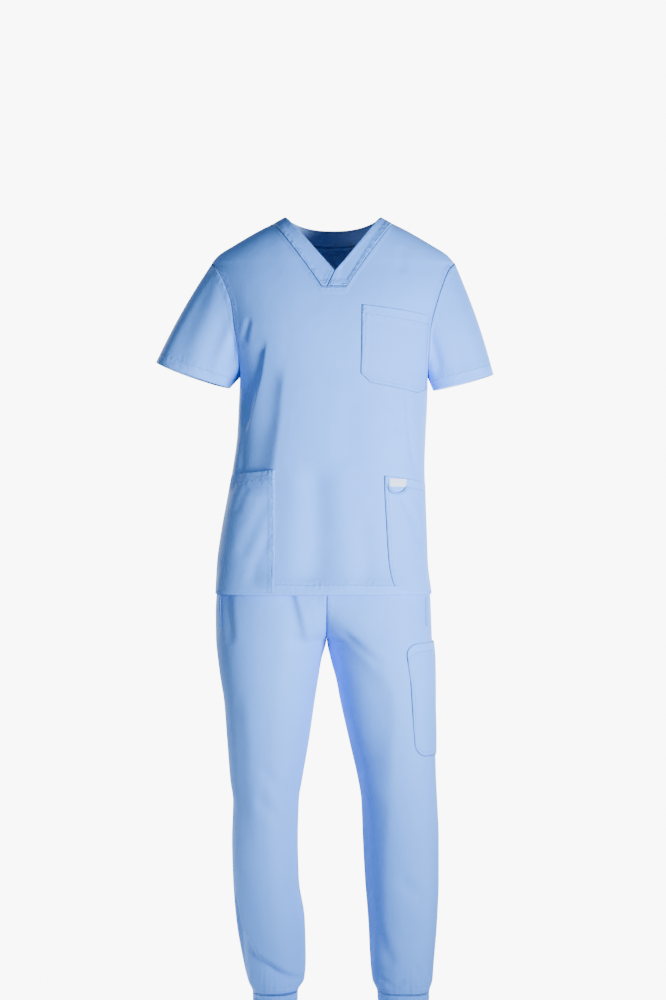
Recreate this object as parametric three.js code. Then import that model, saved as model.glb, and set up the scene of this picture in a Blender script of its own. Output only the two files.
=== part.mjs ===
// A set of medical scrubs, worn and filled out: a V-neck top with short sleeves
// and jogger trousers. Millimetres, +Z up, the front faces -Y, and +X is the
// wearer's left. The origin is the middle of the neck opening at the height
// where the shoulder seams meet the neckband.
import * as THREE from 'three';

// Walls of the panels, the doubled bands, the pockets and the small trim
const WALL = 2;
const BAND_WALL = 2.4;
const POCKET_WALL = 1.6;
const TRIM_WALL = 1;

// Gap at a seam, under a patch, and under a piece that wraps a curve
const SEAM_GAP = 0.3;
const LAY_GAP = 0.8;
const WRAP_GAP = 1.2;

// A patch takes the panel's rows that lie this far inside its edges.
const EDGE_ROOM = 5;

// Folds fade out over this many rows or columns at a panel's edges.
const FOLD_FADE = 3;

// Walls that meet at a seam grow by the mitre down to this least facing.
const MITRE = { leastFacing: 0.6, room: 0.15 };

const FRONT = -1;
const BACK = 1;

// The top: heights, neck and bands
const UNDERARM_Z = -302;
const SHOULDER_Z = -86;
const TOP_HEM_Z = -707;
const VENT_HEIGHT = 57;
const VENT_SPREAD = 5;
const NECK = { half: 89, apexX: 4, apexZ: -109, backDip: 20, backPower: 2.5, frontPower: 0.94 };
const NECKBAND_WIDTH = 31;
const BAND_FOOT_Z = -139;
const ROLL = 2.2;
const SLEEVE_PUFF = 5;

// The trousers: heights
const WAIST_TOP_Z = -495;
const WAIST_FOOT_Z = -540;
const CROTCH_Z = -791;
const CUFF_TOP_Z = -1456;
const CUFF_FOOT_Z = -1520;

// Torso sections: the two side edges, the depth in front and behind, the
// roundness of the section and the half depth of the armhole above the underarm.
const TORSO = [
  { z: -707, right: -221, left: 185, front: 131, back: 128, round: 2.9, armhole: 0 },
  { z: -650, right: -218, left: 178, front: 128, back: 125, round: 2.8, armhole: 0 },
  { z: -590, right: -210, left: 176, front: 125, back: 120, round: 2.6, armhole: 0 },
  { z: -530, right: -199, left: 174, front: 124, back: 114, round: 2.5, armhole: 0 },
  { z: -470, right: -188, left: 172, front: 124, back: 109, round: 2.5, armhole: 0 },
  { z: -410, right: -180, left: 174, front: 126, back: 107, round: 2.5, armhole: 0 },
  { z: -350, right: -177, left: 177, front: 128, back: 109, round: 2.5, armhole: 0 },
  { z: -302, right: -175, left: 178, front: 128, back: 113, round: 2.5, armhole: 0 },
  { z: -285, right: -175, left: 178, front: 128, back: 114, round: 2.5, armhole: 36 },
  { z: -250, right: -178, left: 179, front: 128, back: 115, round: 2.5, armhole: 56 },
  { z: -209, right: -184, left: 182, front: 127, back: 116, round: 2.5, armhole: 63 },
  { z: -165, right: -190, left: 193, front: 126, back: 116, round: 2.5, armhole: 59 },
  { z: -128, right: -203, left: 205, front: 125, back: 115, round: 2.5, armhole: 46 },
  { z: -100, right: -217, left: 217, front: 124, back: 114, round: 2.5, armhole: 26 },
  { z: -86, right: -227, left: 229, front: 124, back: 114, round: 2.5, armhole: 0 },
];

// The shoulder ridge: its height by distance from the middle
const RIDGE = [
  { x: 0, height: 14 },
  { x: 60, height: 9 },
  { x: 89, height: 0 },
  { x: 113, height: -13 },
  { x: 137, height: -25 },
  { x: 187, height: -54 },
  { x: 214, height: -71 },
  { x: 228, height: -86 },
];

// Lines that the columns of the two torso panels follow from hem to shoulder.
// The pockets, the band foot and the shoulder seam's neck end lie on them.
const COLUMNS = [
  { z: -707, outer: -105, footRight: -32, footLeft: 12, chest: 62, inner: 120 },
  { z: -678, outer: -105, footRight: -32, footLeft: 12, chest: 58, inner: 107 },
  { z: -632, outer: -105, footRight: -31, footLeft: 12, chest: 55, inner: 101 },
  { z: -580, outer: -105, footRight: -30, footLeft: 14, chest: 54, inner: 98 },
  { z: -486, outer: -106, footRight: -26, footLeft: 20, chest: 53, inner: 94 },
  { z: -340, outer: -108, footRight: -22, footLeft: 24, chest: 50, inner: 104 },
  { z: -240, outer: -110, footRight: -22, footLeft: 25, chest: 52, inner: 110 },
  { z: -171, outer: -112, footRight: -22, footLeft: 25, chest: 53, inner: 112 },
  { z: -139, outer: -113, footRight: -22, footLeft: 25, chest: 57, inner: 113 },
  { z: -90, outer: -113, footRight: -22, footLeft: 25, chest: 65, inner: 113 },
  { z: 0, outer: -113, footRight: -22, footLeft: 25, chest: 65, inner: 113 },
];
const COLUMN_COUNTS = [8, 6, 4, 3, 4, 8];
const ROWS_BODY = 13;
const ROWS_ARMHOLE = 9;

// Sleeve hems: the point next to the body, the outer point and the half depth
const SLEEVES = [
  { name: 'sleeve_right', side: -1, inner: [-193, -321], outer: [-333, -273], depth: 55, droop: 5 },
  { name: 'sleeve_left', side: 1, inner: [188, -326], outer: [302, -296], depth: 52, droop: 2 },
];
const ROWS_SLEEVE = 7;

// Leg sections of the wearer's right and left leg: side seam, crest of the
// front and back, inner edge, and the depth in front and behind.
const LEG_RIGHT = [
  { z: -495, outer: -158, crest: -70, inner: -10, front: 98, back: 84 },
  { z: -540, outer: -172, crest: -70, inner: -10, front: 102, back: 90 },
  { z: -600, outer: -196, crest: -72, inner: -11, front: 107, back: 101 },
  { z: -660, outer: -211, crest: -75, inner: -12, front: 114, back: 111 },
  { z: -707, outer: -218.8, crest: -78, inner: -12, front: 119, back: 118 },
  { z: -740, outer: -220.5, crest: -84, inner: -12, front: 121, back: 122 },
  { z: -791, outer: -220, crest: -100, inner: -12, front: 116, back: 122 },
  { z: -833, outer: -216, crest: -110, inner: -22, front: 108, back: 112 },
  { z: -870, outer: -211, crest: -114, inner: -28, front: 102, back: 103 },
  { z: -907, outer: -205, crest: -116, inner: -34, front: 97, back: 95 },
  { z: -983, outer: -199, crest: -119, inner: -45, front: 88, back: 82 },
  { z: -1058, outer: -193, crest: -122, inner: -58, front: 80, back: 73 },
  { z: -1096, outer: -188, crest: -124, inner: -64, front: 77, back: 71 },
  { z: -1171, outer: -190, crest: -126, inner: -66, front: 71, back: 73 },
  { z: -1246, outer: -188, crest: -124, inner: -64, front: 66, back: 77 },
  { z: -1321, outer: -182, crest: -116, inner: -53, front: 62, back: 75 },
  { z: -1397, outer: -169, crest: -109, inner: -51, front: 58, back: 67 },
  { z: -1434, outer: -160, crest: -108, inner: -54, front: 54, back: 60 },
  { z: -1456, outer: -151, crest: -108, inner: -66, front: 43, back: 45 },
  { z: -1520, outer: -149, crest: -108, inner: -68, front: 42, back: 44 },
];
const LEG_LEFT = [
  { z: -495, outer: 139, crest: 50, inner: -10, front: 98, back: 84 },
  { z: -540, outer: 150, crest: 50, inner: -10, front: 102, back: 90 },
  { z: -600, outer: 166, crest: 50, inner: -11, front: 107, back: 101 },
  { z: -660, outer: 173, crest: 50, inner: -12, front: 114, back: 111 },
  { z: -707, outer: 182.4, crest: 52, inner: -12, front: 119, back: 118 },
  { z: -740, outer: 184, crest: 58, inner: -12, front: 121, back: 122 },
  { z: -791, outer: 186, crest: 75, inner: -12, front: 116, back: 122 },
  { z: -833, outer: 190, crest: 86, inner: -4, front: 108, back: 112 },
  { z: -870, outer: 190, crest: 96, inner: 6, front: 102, back: 103 },
  { z: -907, outer: 190, crest: 101, inner: 13, front: 97, back: 95 },
  { z: -983, outer: 192, crest: 110, inner: 30, front: 88, back: 82 },
  { z: -1058, outer: 194, crest: 120, inner: 47, front: 80, back: 73 },
  { z: -1096, outer: 196, crest: 124, inner: 53, front: 77, back: 71 },
  { z: -1171, outer: 199, crest: 128, inner: 56, front: 71, back: 73 },
  { z: -1246, outer: 199, crest: 130, inner: 60, front: 66, back: 77 },
  { z: -1321, outer: 196, crest: 131, inner: 66, front: 62, back: 75 },
  { z: -1397, outer: 190, crest: 130, inner: 70, front: 58, back: 67 },
  { z: -1434, outer: 187, crest: 131, inner: 74, front: 54, back: 60 },
  { z: -1456, outer: 181, crest: 133, inner: 83, front: 43, back: 45 },
  { z: -1520, outer: 179, crest: 133, inner: 87, front: 42, back: 44 },
];
const LEG_ROUND = 2.4;
const LEG_ROWS = [
  -540, -570, -602, -636, -672, -707, -735, -757, -773, -784, -791, -806, -828, -852, -880,
  -912, -950, -990, -1035, -1085, -1135, -1185, -1235, -1280, -1320, -1355, -1385, -1410,
  -1430, -1446, -1456,
];
const LEG_OUTER_COLUMNS = 7;
const LEG_INNER_COLUMNS = 4;
const CUFF_ROWS = 2;

// The curve of the centre seam: it leaves the front or back at its start
// height and rounds under to the crotch point.
const RISE = { frontStart: -668, backStart: -640, crotchY: 8, power: 2.6 };

// Folds: a soft trough from one point to another in front view, by its half
// width and depth. A negative depth is a ridge.
const TOP_FRONT_FOLDS = [
  { x1: -134, z1: -288, x2: -168, z2: -400, width: 13, depth: 7 },
  { x1: -92, z1: -291, x2: -110, z2: -345, width: 15, depth: 7 },
  { x1: -110, z1: -345, x2: -109, z2: -468, width: 15, depth: 6 },
  { x1: -150, z1: -190, x2: -164, z2: -290, width: 12, depth: 4 },
  { x1: -118, z1: -231, x2: -134, z2: -330, width: 11, depth: -4 },
  { x1: 107, z1: -345, x2: 107, z2: -446, width: 14, depth: 5 },
  { x1: 138, z1: -352, x2: 140, z2: -470, width: 12, depth: 4 },
  { x1: -17, z1: -500, x2: -17, z2: -664, width: 26, depth: 5 },
  { x1: 127, z1: -60, x2: 127, z2: -110, width: 14, depth: 3 },
  { x1: -142, z1: -500, x2: -178, z2: -615, width: 14, depth: 5 },
  { x1: 125, z1: -530, x2: 150, z2: -600, width: 13, depth: 4 },
  { x1: 50, z1: -560, x2: 62, z2: -690, width: 18, depth: -4 },
];
const TOP_BACK_FOLDS = [
  { x1: -84, z1: -190, x2: -62, z2: -420, width: 20, depth: 6 },
  { x1: 72, z1: -230, x2: 98, z2: -470, width: 18, depth: 6 },
  { x1: -70, z1: -505, x2: 66, z2: -520, width: 22, depth: 6 },
  { x1: -150, z1: -210, x2: -122, z2: -330, width: 13, depth: 4 },
  { x1: 152, z1: -205, x2: 128, z2: -345, width: 13, depth: 4 },
  { x1: 10, z1: -560, x2: 24, z2: -660, width: 24, depth: 5 },
];
const TROUSER_FRONT_FOLDS = [
  { x1: -76, z1: -722, x2: -50, z2: -800, width: 11, depth: 6 },
  { x1: -74, z1: -790, x2: -54, z2: -850, width: 13, depth: 3 },
  { x1: -170, z1: -1330, x2: -141, z2: -1386, width: 13, depth: 7 },
  { x1: -132, z1: -1387, x2: -84, z2: -1424, width: 11, depth: 6 },
  { x1: 10, z1: -770, x2: 94, z2: -880, width: 17, depth: 6 },
  { x1: 50, z1: -895, x2: 74, z2: -1000, width: 22, depth: 5 },
  { x1: 84, z1: -1040, x2: 96, z2: -1160, width: 16, depth: 4 },
  { x1: 112, z1: -1404, x2: 164, z2: -1428, width: 11, depth: 5 },
];
const TROUSER_BACK_FOLDS = [
  { x1: -128, z1: -860, x2: -86, z2: -905, width: 15, depth: 6 },
  { x1: 128, z1: -856, x2: 84, z2: -912, width: 15, depth: 6 },
  { x1: -158, z1: -1130, x2: -96, z2: -1112, width: 14, depth: 6 },
  { x1: 96, z1: -1118, x2: 164, z2: -1136, width: 14, depth: 6 },
  { x1: -146, z1: -1392, x2: -80, z2: -1420, width: 12, depth: 6 },
  { x1: 98, z1: -1420, x2: 160, z2: -1394, width: 12, depth: 6 },
];

// Patch pockets: the panel columns they span and the heights of their top and
// bottom edge, by share of the width from the wearer's right to the left.
const CHEST_POCKET = {
  top: [{ at: 0, z: -171 }, { at: 1, z: -190 }],
  foot: [{ at: 0, z: -292 }, { at: 0.14, z: -312 }, { at: 0.8, z: -331 }, { at: 1, z: -322 }],
};
const LOWER_POCKET_RIGHT = {
  top: [{ at: 0, z: -488 }, { at: 1, z: -476 }],
  foot: [{ at: 0, z: -700 }, { at: 1, z: -700 }],
};
const LOWER_POCKET_LEFT = {
  top: [{ at: 0, z: -485 }, { at: 1, z: -500 }],
  foot: [{ at: 0, z: -700 }, { at: 1, z: -700 }],
};
const CARGO_POCKET = { topZ: -797, footZ: -1008, corner: 22, nextColumn: 0.3 };
const CARGO_COLUMNS = 5;
const LABEL = { x: 117, z: -500, width: 30, height: 15, columns: 4, rows: 2 };
const BADGE_LOOP = { width: 28, drop: 15, thickness: 3, bends: 8, steps: 12, sides: 4 };
// The slanted side pocket's facing runs down the panel between shares of its columns.
const SLANT_POCKET = {
  topZ: -712, footZ: -766, topColumn: 1.7, footColumn: 2, columns: 0.28, rows: 6,
};

const CLOTH = '#9dbbe6';
const LABEL_CLOTH = '#e4e6ea';

function cloth(color = CLOTH) {
  return new THREE.MeshStandardMaterial({ color, roughness: 0.85, metalness: 0 });
}

// Reads one column of a table as a smooth curve that never overshoots its rows.
function track(rows, column, key = 'z') {
  const sorted = [...rows].sort((a, b) => a[key] - b[key]);
  const at = sorted.map((row) => row[key]);
  const value = sorted.map((row) => row[column]);
  const last = at.length - 1;
  const slope = at.slice(1).map((next, k) => (value[k + 1] - value[k]) / (next - at[k]));
  const tangent = at.map((_, k) => {
    if (k === 0) return slope[0];
    if (k === last) return slope[last - 1];
    const before = slope[k - 1];
    const after = slope[k];
    return before * after <= 0 ? 0 : (2 * before * after) / (before + after);
  });
  return (position) => {
    if (position <= at[0]) return value[0];
    if (position >= at[last]) return value[last];
    let k = 0;
    while (at[k + 1] < position) k += 1;
    const span = at[k + 1] - at[k];
    const s = (position - at[k]) / span;
    const rise = s * s * (3 - 2 * s);
    const bend = span * s * (1 - s);
    return value[k] + (value[k + 1] - value[k]) * rise
      + bend * ((1 - s) * tangent[k] - s * tangent[k + 1]);
  };
}

function tracks(rows, columns, key = 'z') {
  return Object.fromEntries(columns.map((column) => [column, track(rows, column, key)]));
}

// Straight runs between the points of a short outline.
function outline(points, at) {
  let k = 0;
  while (k < points.length - 2 && points[k + 1].at < at) k += 1;
  const share = (at - points[k].at) / (points[k + 1].at - points[k].at);
  return THREE.MathUtils.lerp(points[k].z, points[k + 1].z, share);
}

function foldDepth(folds, x, z) {
  let sum = 0;
  for (const fold of folds) {
    const run = fold.x2 - fold.x1;
    const rise = fold.z2 - fold.z1;
    const along = ((x - fold.x1) * run + (z - fold.z1) * rise) / (run * run + rise * rise);
    const share = THREE.MathUtils.clamp(along, 0, 1);
    const distance = Math.hypot(x - fold.x1 - share * run, z - fold.z1 - share * rise);
    sum += fold.depth * Math.exp(-((distance / fold.width) ** 2));
  }
  return sum;
}

// A grid of outer points, rows[j][i], with a normal at each point.
function gridNormals(rows, wrap) {
  const lastRow = rows.length - 1;
  const count = rows[0].length;
  return rows.map((row, j) => row.map((_, i) => {
    const before = wrap ? (i - 1 + count) % count : Math.max(i - 1, 0);
    const after = wrap ? (i + 1) % count : Math.min(i + 1, count - 1);
    const across = row[after].clone().sub(row[before]);
    const up = rows[Math.min(j + 1, lastRow)][i].clone().sub(rows[Math.max(j - 1, 0)][i]);
    return across.cross(up).normalize();
  }));
}

function makePanel(name, rows, options = {}) {
  const settings = { wall: WALL, wrap: false, flip: false, weight: 1, ...options };
  const normals = gridNormals(rows, settings.wrap);
  if (settings.flip) normals.forEach((row) => row.forEach((normal) => normal.negate()));
  return { name, rows, normals, ...settings };
}

// Sinks the folds into a panel, fading out at its two side seams.
function pressFolds(panel, folds, fadeTop) {
  const lastColumn = panel.rows[0].length - 1;
  const lastRow = panel.rows.length - 1;
  const fade = (steps) => THREE.MathUtils.smoothstep(steps, 0, FOLD_FADE);
  const rows = panel.rows.map((row, j) => row.map((point, i) => {
    const edge = fade(i) * fade(lastColumn - i) * (fadeTop ? fade(lastRow - j) * fade(j) : 1);
    const depth = edge * foldDepth(folds, point.x, point.z);
    return point.clone().addScaledVector(panel.normals[j][i], -depth);
  }));
  return makePanel(panel.name, rows, panel);
}

// Gives the points where panels meet one shared normal, so that their walls
// meet in a mitre. A panel's weight is its say in that normal.
function mitreSeams(panels) {
  const meetings = new Map();
  const place = (point) => point.toArray().map((value) => Math.round(value * 100)).join();
  const eachPoint = (visit) => panels.forEach((panel) => {
    panel.rows.forEach((row, j) => row.forEach((point, i) => visit(panel, place(point), j, i)));
  });
  eachPoint((panel, key, j, i) => {
    const sum = meetings.get(key) ?? new THREE.Vector3();
    meetings.set(key, sum.addScaledVector(panel.normals[j][i], panel.weight));
  });
  eachPoint((panel, key, j, i) => {
    const shared = meetings.get(key).clone().normalize();
    const facing = Math.max(MITRE.leastFacing, Math.abs(shared.dot(panel.normals[j][i])));
    panel.normals[j][i] = shared.divideScalar(Math.min(1, facing + MITRE.room));
  });
}

// Draws one edge of a panel back from the mitre that it shares with its
// neighbour, by a distance, or moves it by the vector that a function gives.
function trimEdge(panel, edge, move) {
  const lastRow = panel.rows.length - 1;
  const lastColumn = panel.rows[0].length - 1;
  const places = {
    start: panel.rows.map((_, j) => [j, 0, j, 1]),
    end: panel.rows.map((_, j) => [j, lastColumn, j, lastColumn - 1]),
    foot: panel.rows[0].map((_, i) => [0, i, 1, i]),
    top: panel.rows[0].map((_, i) => [lastRow, i, lastRow - 1, i]),
  };
  const count = places[edge].length;
  const pointAt = (k) => {
    const at = panel.wrap ? (k + count) % count : THREE.MathUtils.clamp(k, 0, count - 1);
    const [j, i] = places[edge][at];
    return panel.rows[j][i];
  };
  const drawBack = (k, distance) => {
    const [j, i, nextJ, nextI] = places[edge][k];
    const along = pointAt(k + 1).clone().sub(pointAt(k - 1));
    const away = along.cross(panel.normals[j][i]).setLength(distance);
    const into = panel.rows[nextJ][nextI].clone().sub(panel.rows[j][i]);
    return away.dot(into) < 0 ? away.negate() : away;
  };
  const shifts = places[edge].map(([j, i], k) => {
    if (typeof move === 'number') return drawBack(k, move);
    return move(panel.rows[j][i], (distance) => drawBack(k, distance), i);
  });
  places[edge].forEach(([j, i], k) => {
    if (shifts[k]) panel.rows[j][i] = panel.rows[j][i].clone().add(shifts[k]);
  });
}

// Closes a panel into one solid wall: outer skin, inner skin and rims.
function panelMesh(panel, color) {
  const { rows, normals, wall, wrap } = panel;
  const rowCount = rows.length;
  const count = rows[0].length;
  const positions = [];
  rows.forEach((row) => row.forEach((point) => positions.push(...point.toArray())));
  rows.forEach((row, j) => row.forEach((point, i) => {
    positions.push(...point.clone().addScaledVector(normals[j][i], -wall).toArray());
  }));
  const outer = (j, i) => j * count + (wrap ? i % count : i);
  const inner = (j, i) => rowCount * count + outer(j, i);
  const index = [];
  const quad = (a, b, c, d) => {
    if (panel.flip) index.push(a, c, b, a, d, c);
    else index.push(a, b, c, a, c, d);
  };
  // Neighbours split their rims along the same diagonal: from the lower outer corner.
  const rim = (a, b, c, d) => {
    const rise = positions[a * 3 + 2] - positions[b * 3 + 2];
    const fromA = Math.abs(rise) > 1e-3 ? rise < 0 : positions[a * 3] < positions[b * 3];
    if (fromA) quad(a, b, c, d);
    else quad(b, c, d, a);
  };
  const steps = wrap ? count : count - 1;
  for (let j = 0; j < rowCount - 1; j += 1) {
    for (let i = 0; i < steps; i += 1) {
      quad(outer(j, i), outer(j, i + 1), outer(j + 1, i + 1), outer(j + 1, i));
      quad(inner(j, i), inner(j + 1, i), inner(j + 1, i + 1), inner(j, i + 1));
    }
  }
  const top = rowCount - 1;
  for (let i = 0; i < steps; i += 1) {
    rim(outer(0, i + 1), outer(0, i), inner(0, i), inner(0, i + 1));
    rim(outer(top, i), outer(top, i + 1), inner(top, i + 1), inner(top, i));
  }
  for (let j = 0; j < top && !wrap; j += 1) {
    rim(outer(j, 0), outer(j + 1, 0), inner(j + 1, 0), inner(j, 0));
    rim(outer(j + 1, steps), outer(j, steps), inner(j, steps), inner(j + 1, steps));
  }
  const geometry = new THREE.BufferGeometry();
  geometry.setAttribute('position', new THREE.Float32BufferAttribute(positions, 3));
  geometry.setIndex(index);
  geometry.computeVertexNormals();
  const mesh = new THREE.Mesh(geometry, cloth(color));
  mesh.name = panel.name;
  return mesh;
}

// The torso form
const torso = tracks(TORSO, ['right', 'left', 'front', 'back', 'round', 'armhole']);
const ridgeHeight = track(RIDGE, 'height', 'x');
const columnLines = tracks(COLUMNS, ['outer', 'footRight', 'footLeft', 'chest', 'inner']);

function torsoPoint(face, x, z) {
  const middle = (torso.left(z) + torso.right(z)) / 2;
  const half = (torso.left(z) - torso.right(z)) / 2;
  const share = Math.min(1, Math.abs(x - middle) / half);
  const round = torso.round(z);
  const depth = face === FRONT ? torso.front(z) : torso.back(z);
  const section = (1 - share ** round) ** (1 / round);
  const ridge = ridgeHeight(Math.abs(x));
  const climb = THREE.MathUtils.clamp((z - UNDERARM_Z) / (ridge - UNDERARM_Z), 0, 1);
  const full = depth * section * (1 - climb ** ROLL) ** (1 / ROLL);
  const edge = torso.armhole(z);
  return new THREE.Vector3(x, face * Math.cbrt(full ** 3 + edge ** 3), z);
}

function columnX(column, z) {
  const lines = [
    torso.right(z), columnLines.outer(z), columnLines.footRight(z), columnLines.footLeft(z),
    columnLines.chest(z), columnLines.inner(z), torso.left(z),
  ];
  let k = 0;
  let step = column;
  while (k < COLUMN_COUNTS.length - 1 && step > COLUMN_COUNTS[k]) {
    step -= COLUMN_COUNTS[k];
    k += 1;
  }
  let share = step / COLUMN_COUNTS[k];
  if (k === 0) share = 1 - Math.sin((1 - share) * Math.PI / 2);
  if (k === COLUMN_COUNTS.length - 1) share = Math.sin(share * Math.PI / 2);
  return THREE.MathUtils.lerp(lines[k], lines[k + 1], share);
}

const columnTotal = COLUMN_COUNTS.reduce((sum, count) => sum + count, 0);
const columnIndex = (segment) => COLUMN_COUNTS.slice(0, segment).reduce((a, b) => a + b, 0);
const NECK_RIGHT = columnIndex(1);
const FOOT_RIGHT = columnIndex(2);
const FOOT_LEFT = columnIndex(3);
const CHEST_EDGE = columnIndex(4);
const NECK_LEFT = columnIndex(5);

// Passes that settle where a slanting column meets the panel's upper edge
const EDGE_PASSES = 40;

// The upper edge of a torso panel: shoulder seams, and the band seam between.
function panelTop(face, x) {
  const distance = Math.abs(x);
  const corner = COLUMNS[COLUMNS.length - 1].inner;
  if (distance >= corner) return ridgeHeight(distance);
  const cornerHeight = ridgeHeight(corner);
  if (face === BACK) {
    const dip = NECK.backDip + NECKBAND_WIDTH;
    return THREE.MathUtils.lerp(-dip, cornerHeight, (distance / corner) ** NECK.backPower);
  }
  const foot = x < 0 ? -columnLines.footRight(BAND_FOOT_Z) : columnLines.footLeft(BAND_FOOT_Z);
  const share = Math.max(0, (distance - foot) / (corner - foot));
  return THREE.MathUtils.lerp(BAND_FOOT_Z, cornerHeight, share ** NECK.frontPower);
}

function columnTop(face, column) {
  if (column === 0 || column === columnTotal) return SHOULDER_Z;
  let z = BAND_FOOT_Z;
  for (let pass = 0; pass < EDGE_PASSES; pass += 1) {
    z = (z + panelTop(face, columnX(column, z))) / 2;
  }
  return z;
}

// Height of an armhole row, closer together near the shoulder.
function armholeShare(row) {
  return Math.sin((row / ROWS_ARMHOLE) * Math.PI / 2);
}

function torsoPanel(name, face, folds) {
  const rows = [];
  const columns = Array.from({ length: columnTotal + 1 }, (_, column) => column);
  for (let j = 0; j < ROWS_BODY; j += 1) {
    const z = THREE.MathUtils.lerp(TOP_HEM_Z, UNDERARM_Z, j / ROWS_BODY);
    rows.push(columns.map((column) => torsoPoint(face, columnX(column, z), z)));
  }
  for (let j = 0; j <= ROWS_ARMHOLE; j += 1) {
    rows.push(columns.map((column) => {
      const z = THREE.MathUtils.lerp(UNDERARM_Z, columnTop(face, column), armholeShare(j));
      return torsoPoint(face, columnX(column, z), z);
    }));
  }
  const panel = makePanel(name, rows, { flip: face === BACK });
  return pressFolds(panel, folds, false);
}

// A sleeve is a tube of rows round the arm, from the armhole loop to the hem.
function sleevePanel({ name, side, inner, outer, depth, droop }) {
  const loop = [];
  for (let j = 0; j <= ROWS_ARMHOLE; j += 1) loop.push([FRONT, j]);
  for (let j = ROWS_ARMHOLE - 1; j > 0; j -= 1) loop.push([BACK, j]);
  const rows = [];
  for (let row = 0; row <= ROWS_SLEEVE; row += 1) {
    const share = row / ROWS_SLEEVE;
    rows.push(loop.map(([face, j]) => {
      const z = THREE.MathUtils.lerp(UNDERARM_Z, SHOULDER_Z, armholeShare(j));
      const x = side < 0 ? torso.right(z) : torso.left(z);
      const start = new THREE.Vector3(x, face * torso.armhole(z), z);
      const turn = (j / ROWS_ARMHOLE) * Math.PI;
      const reach = (1 - Math.cos(turn)) / 2;
      const end = new THREE.Vector3(
        THREE.MathUtils.lerp(inner[0], outer[0], reach),
        face * depth * Math.sin(turn),
        THREE.MathUtils.lerp(inner[1], outer[1], reach) - droop * Math.sin(turn),
      );
      const puff = SLEEVE_PUFF * Math.sin(share * Math.PI);
      const out = new THREE.Vector3(side * reach, face * Math.sin(turn), 0).multiplyScalar(puff);
      return start.lerp(end, share).add(out);
    }));
  }
  return makePanel(name, rows, { wrap: true, flip: side > 0, weight: 2 });
}

// A neckband strip between the panel's band seam and the neck edge.
function frontBand(name, firstColumn, lastColumn, panel) {
  const neckSide = Math.sign(columnX(firstColumn, 0));
  const neckX = neckSide * NECK.half;
  const outerEdge = panel.rows[panel.rows.length - 1];
  const step = Math.sign(lastColumn - firstColumn);
  const columns = [];
  for (let c = firstColumn; c !== lastColumn + step; c += step) columns.push(c);
  const rows = [0, 0.5, 1].map((across) => columns.map((column, k) => {
    const seam = outerEdge[column];
    if (across === 0) return seam.clone();
    const along = k / (columns.length - 1);
    const x = THREE.MathUtils.lerp(neckX, NECK.apexX, along);
    const z = THREE.MathUtils.lerp(0, NECK.apexZ, along);
    const bandX = THREE.MathUtils.lerp(seam.x, x, across);
    const bandZ = THREE.MathUtils.lerp(seam.z, z, across);
    return k === 0 ? new THREE.Vector3(bandX, 0, ridgeHeight(Math.abs(bandX)))
      : torsoPoint(FRONT, bandX, bandZ);
  }));
  return makePanel(name, rows, { wall: BAND_WALL, flip: neckSide > 0 });
}

function backBand(name, panel) {
  const outerEdge = panel.rows[panel.rows.length - 1];
  const cornerX = outerEdge[NECK_LEFT].x;
  const rows = [0, 0.5, 1].map((across) => {
    const points = [];
    for (let column = NECK_RIGHT; column <= NECK_LEFT; column += 1) {
      const seam = outerEdge[column];
      const share = seam.x / cornerX;
      const x = THREE.MathUtils.lerp(seam.x, share * NECK.half, across);
      const neckZ = -NECK.backDip * (1 - Math.abs(share) ** NECK.backPower);
      const z = THREE.MathUtils.lerp(seam.z, neckZ, across);
      const end = column === NECK_RIGHT || column === NECK_LEFT;
      if (across === 0) points.push(seam.clone());
      else if (end) points.push(new THREE.Vector3(x, 0, ridgeHeight(Math.abs(x))));
      else points.push(torsoPoint(BACK, x, z));
    }
    return points;
  });
  return makePanel(name, rows, { wall: BAND_WALL, flip: true });
}

// The leg form
const LEG_KEYS = ['outer', 'crest', 'inner', 'front', 'back'];
const legs = { right: tracks(LEG_RIGHT, LEG_KEYS), left: tracks(LEG_LEFT, LEG_KEYS) };

// Depth of the inner edge: the rise above the crotch, the inseam below it.
function innerDepth(face, z, depth) {
  const start = face === FRONT ? RISE.frontStart : RISE.backStart;
  if (z <= CROTCH_Z) return RISE.crotchY;
  if (z >= start) return face * depth;
  const share = (start - z) / (start - CROTCH_Z);
  return THREE.MathUtils.lerp(face * depth, RISE.crotchY, 1 - Math.sqrt(1 - share ** RISE.power));
}

function legPoint(side, face, column, z) {
  const leg = legs[side];
  const depth = face === FRONT ? leg.front(z) : leg.back(z);
  const crest = leg.crest(z);
  if (column <= LEG_OUTER_COLUMNS) {
    const turn = (column / LEG_OUTER_COLUMNS) * Math.PI / 2;
    const x = crest + (leg.outer(z) - crest) * Math.cos(turn) ** (2 / LEG_ROUND);
    return new THREE.Vector3(x, face * depth * Math.sin(turn) ** (2 / LEG_ROUND), z);
  }
  const turn = ((column - LEG_OUTER_COLUMNS) / LEG_INNER_COLUMNS) * Math.PI / 2;
  const edgeY = innerDepth(face, z, depth);
  const x = crest + (leg.inner(z) - crest) * Math.sin(turn);
  return new THREE.Vector3(x, edgeY + (face * depth - edgeY) * Math.cos(turn), z);
}

const legColumns = LEG_OUTER_COLUMNS + LEG_INNER_COLUMNS;

function legPanel(name, side, face, folds) {
  const rows = LEG_ROWS.map((z) => {
    const points = [];
    for (let column = 0; column <= legColumns; column += 1) {
      points.push(legPoint(side, face, column, z));
    }
    return points;
  }).reverse();
  const flip = (side === 'right') === (face === BACK);
  return pressFolds(makePanel(name, rows, { flip }), folds, true);
}

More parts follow.
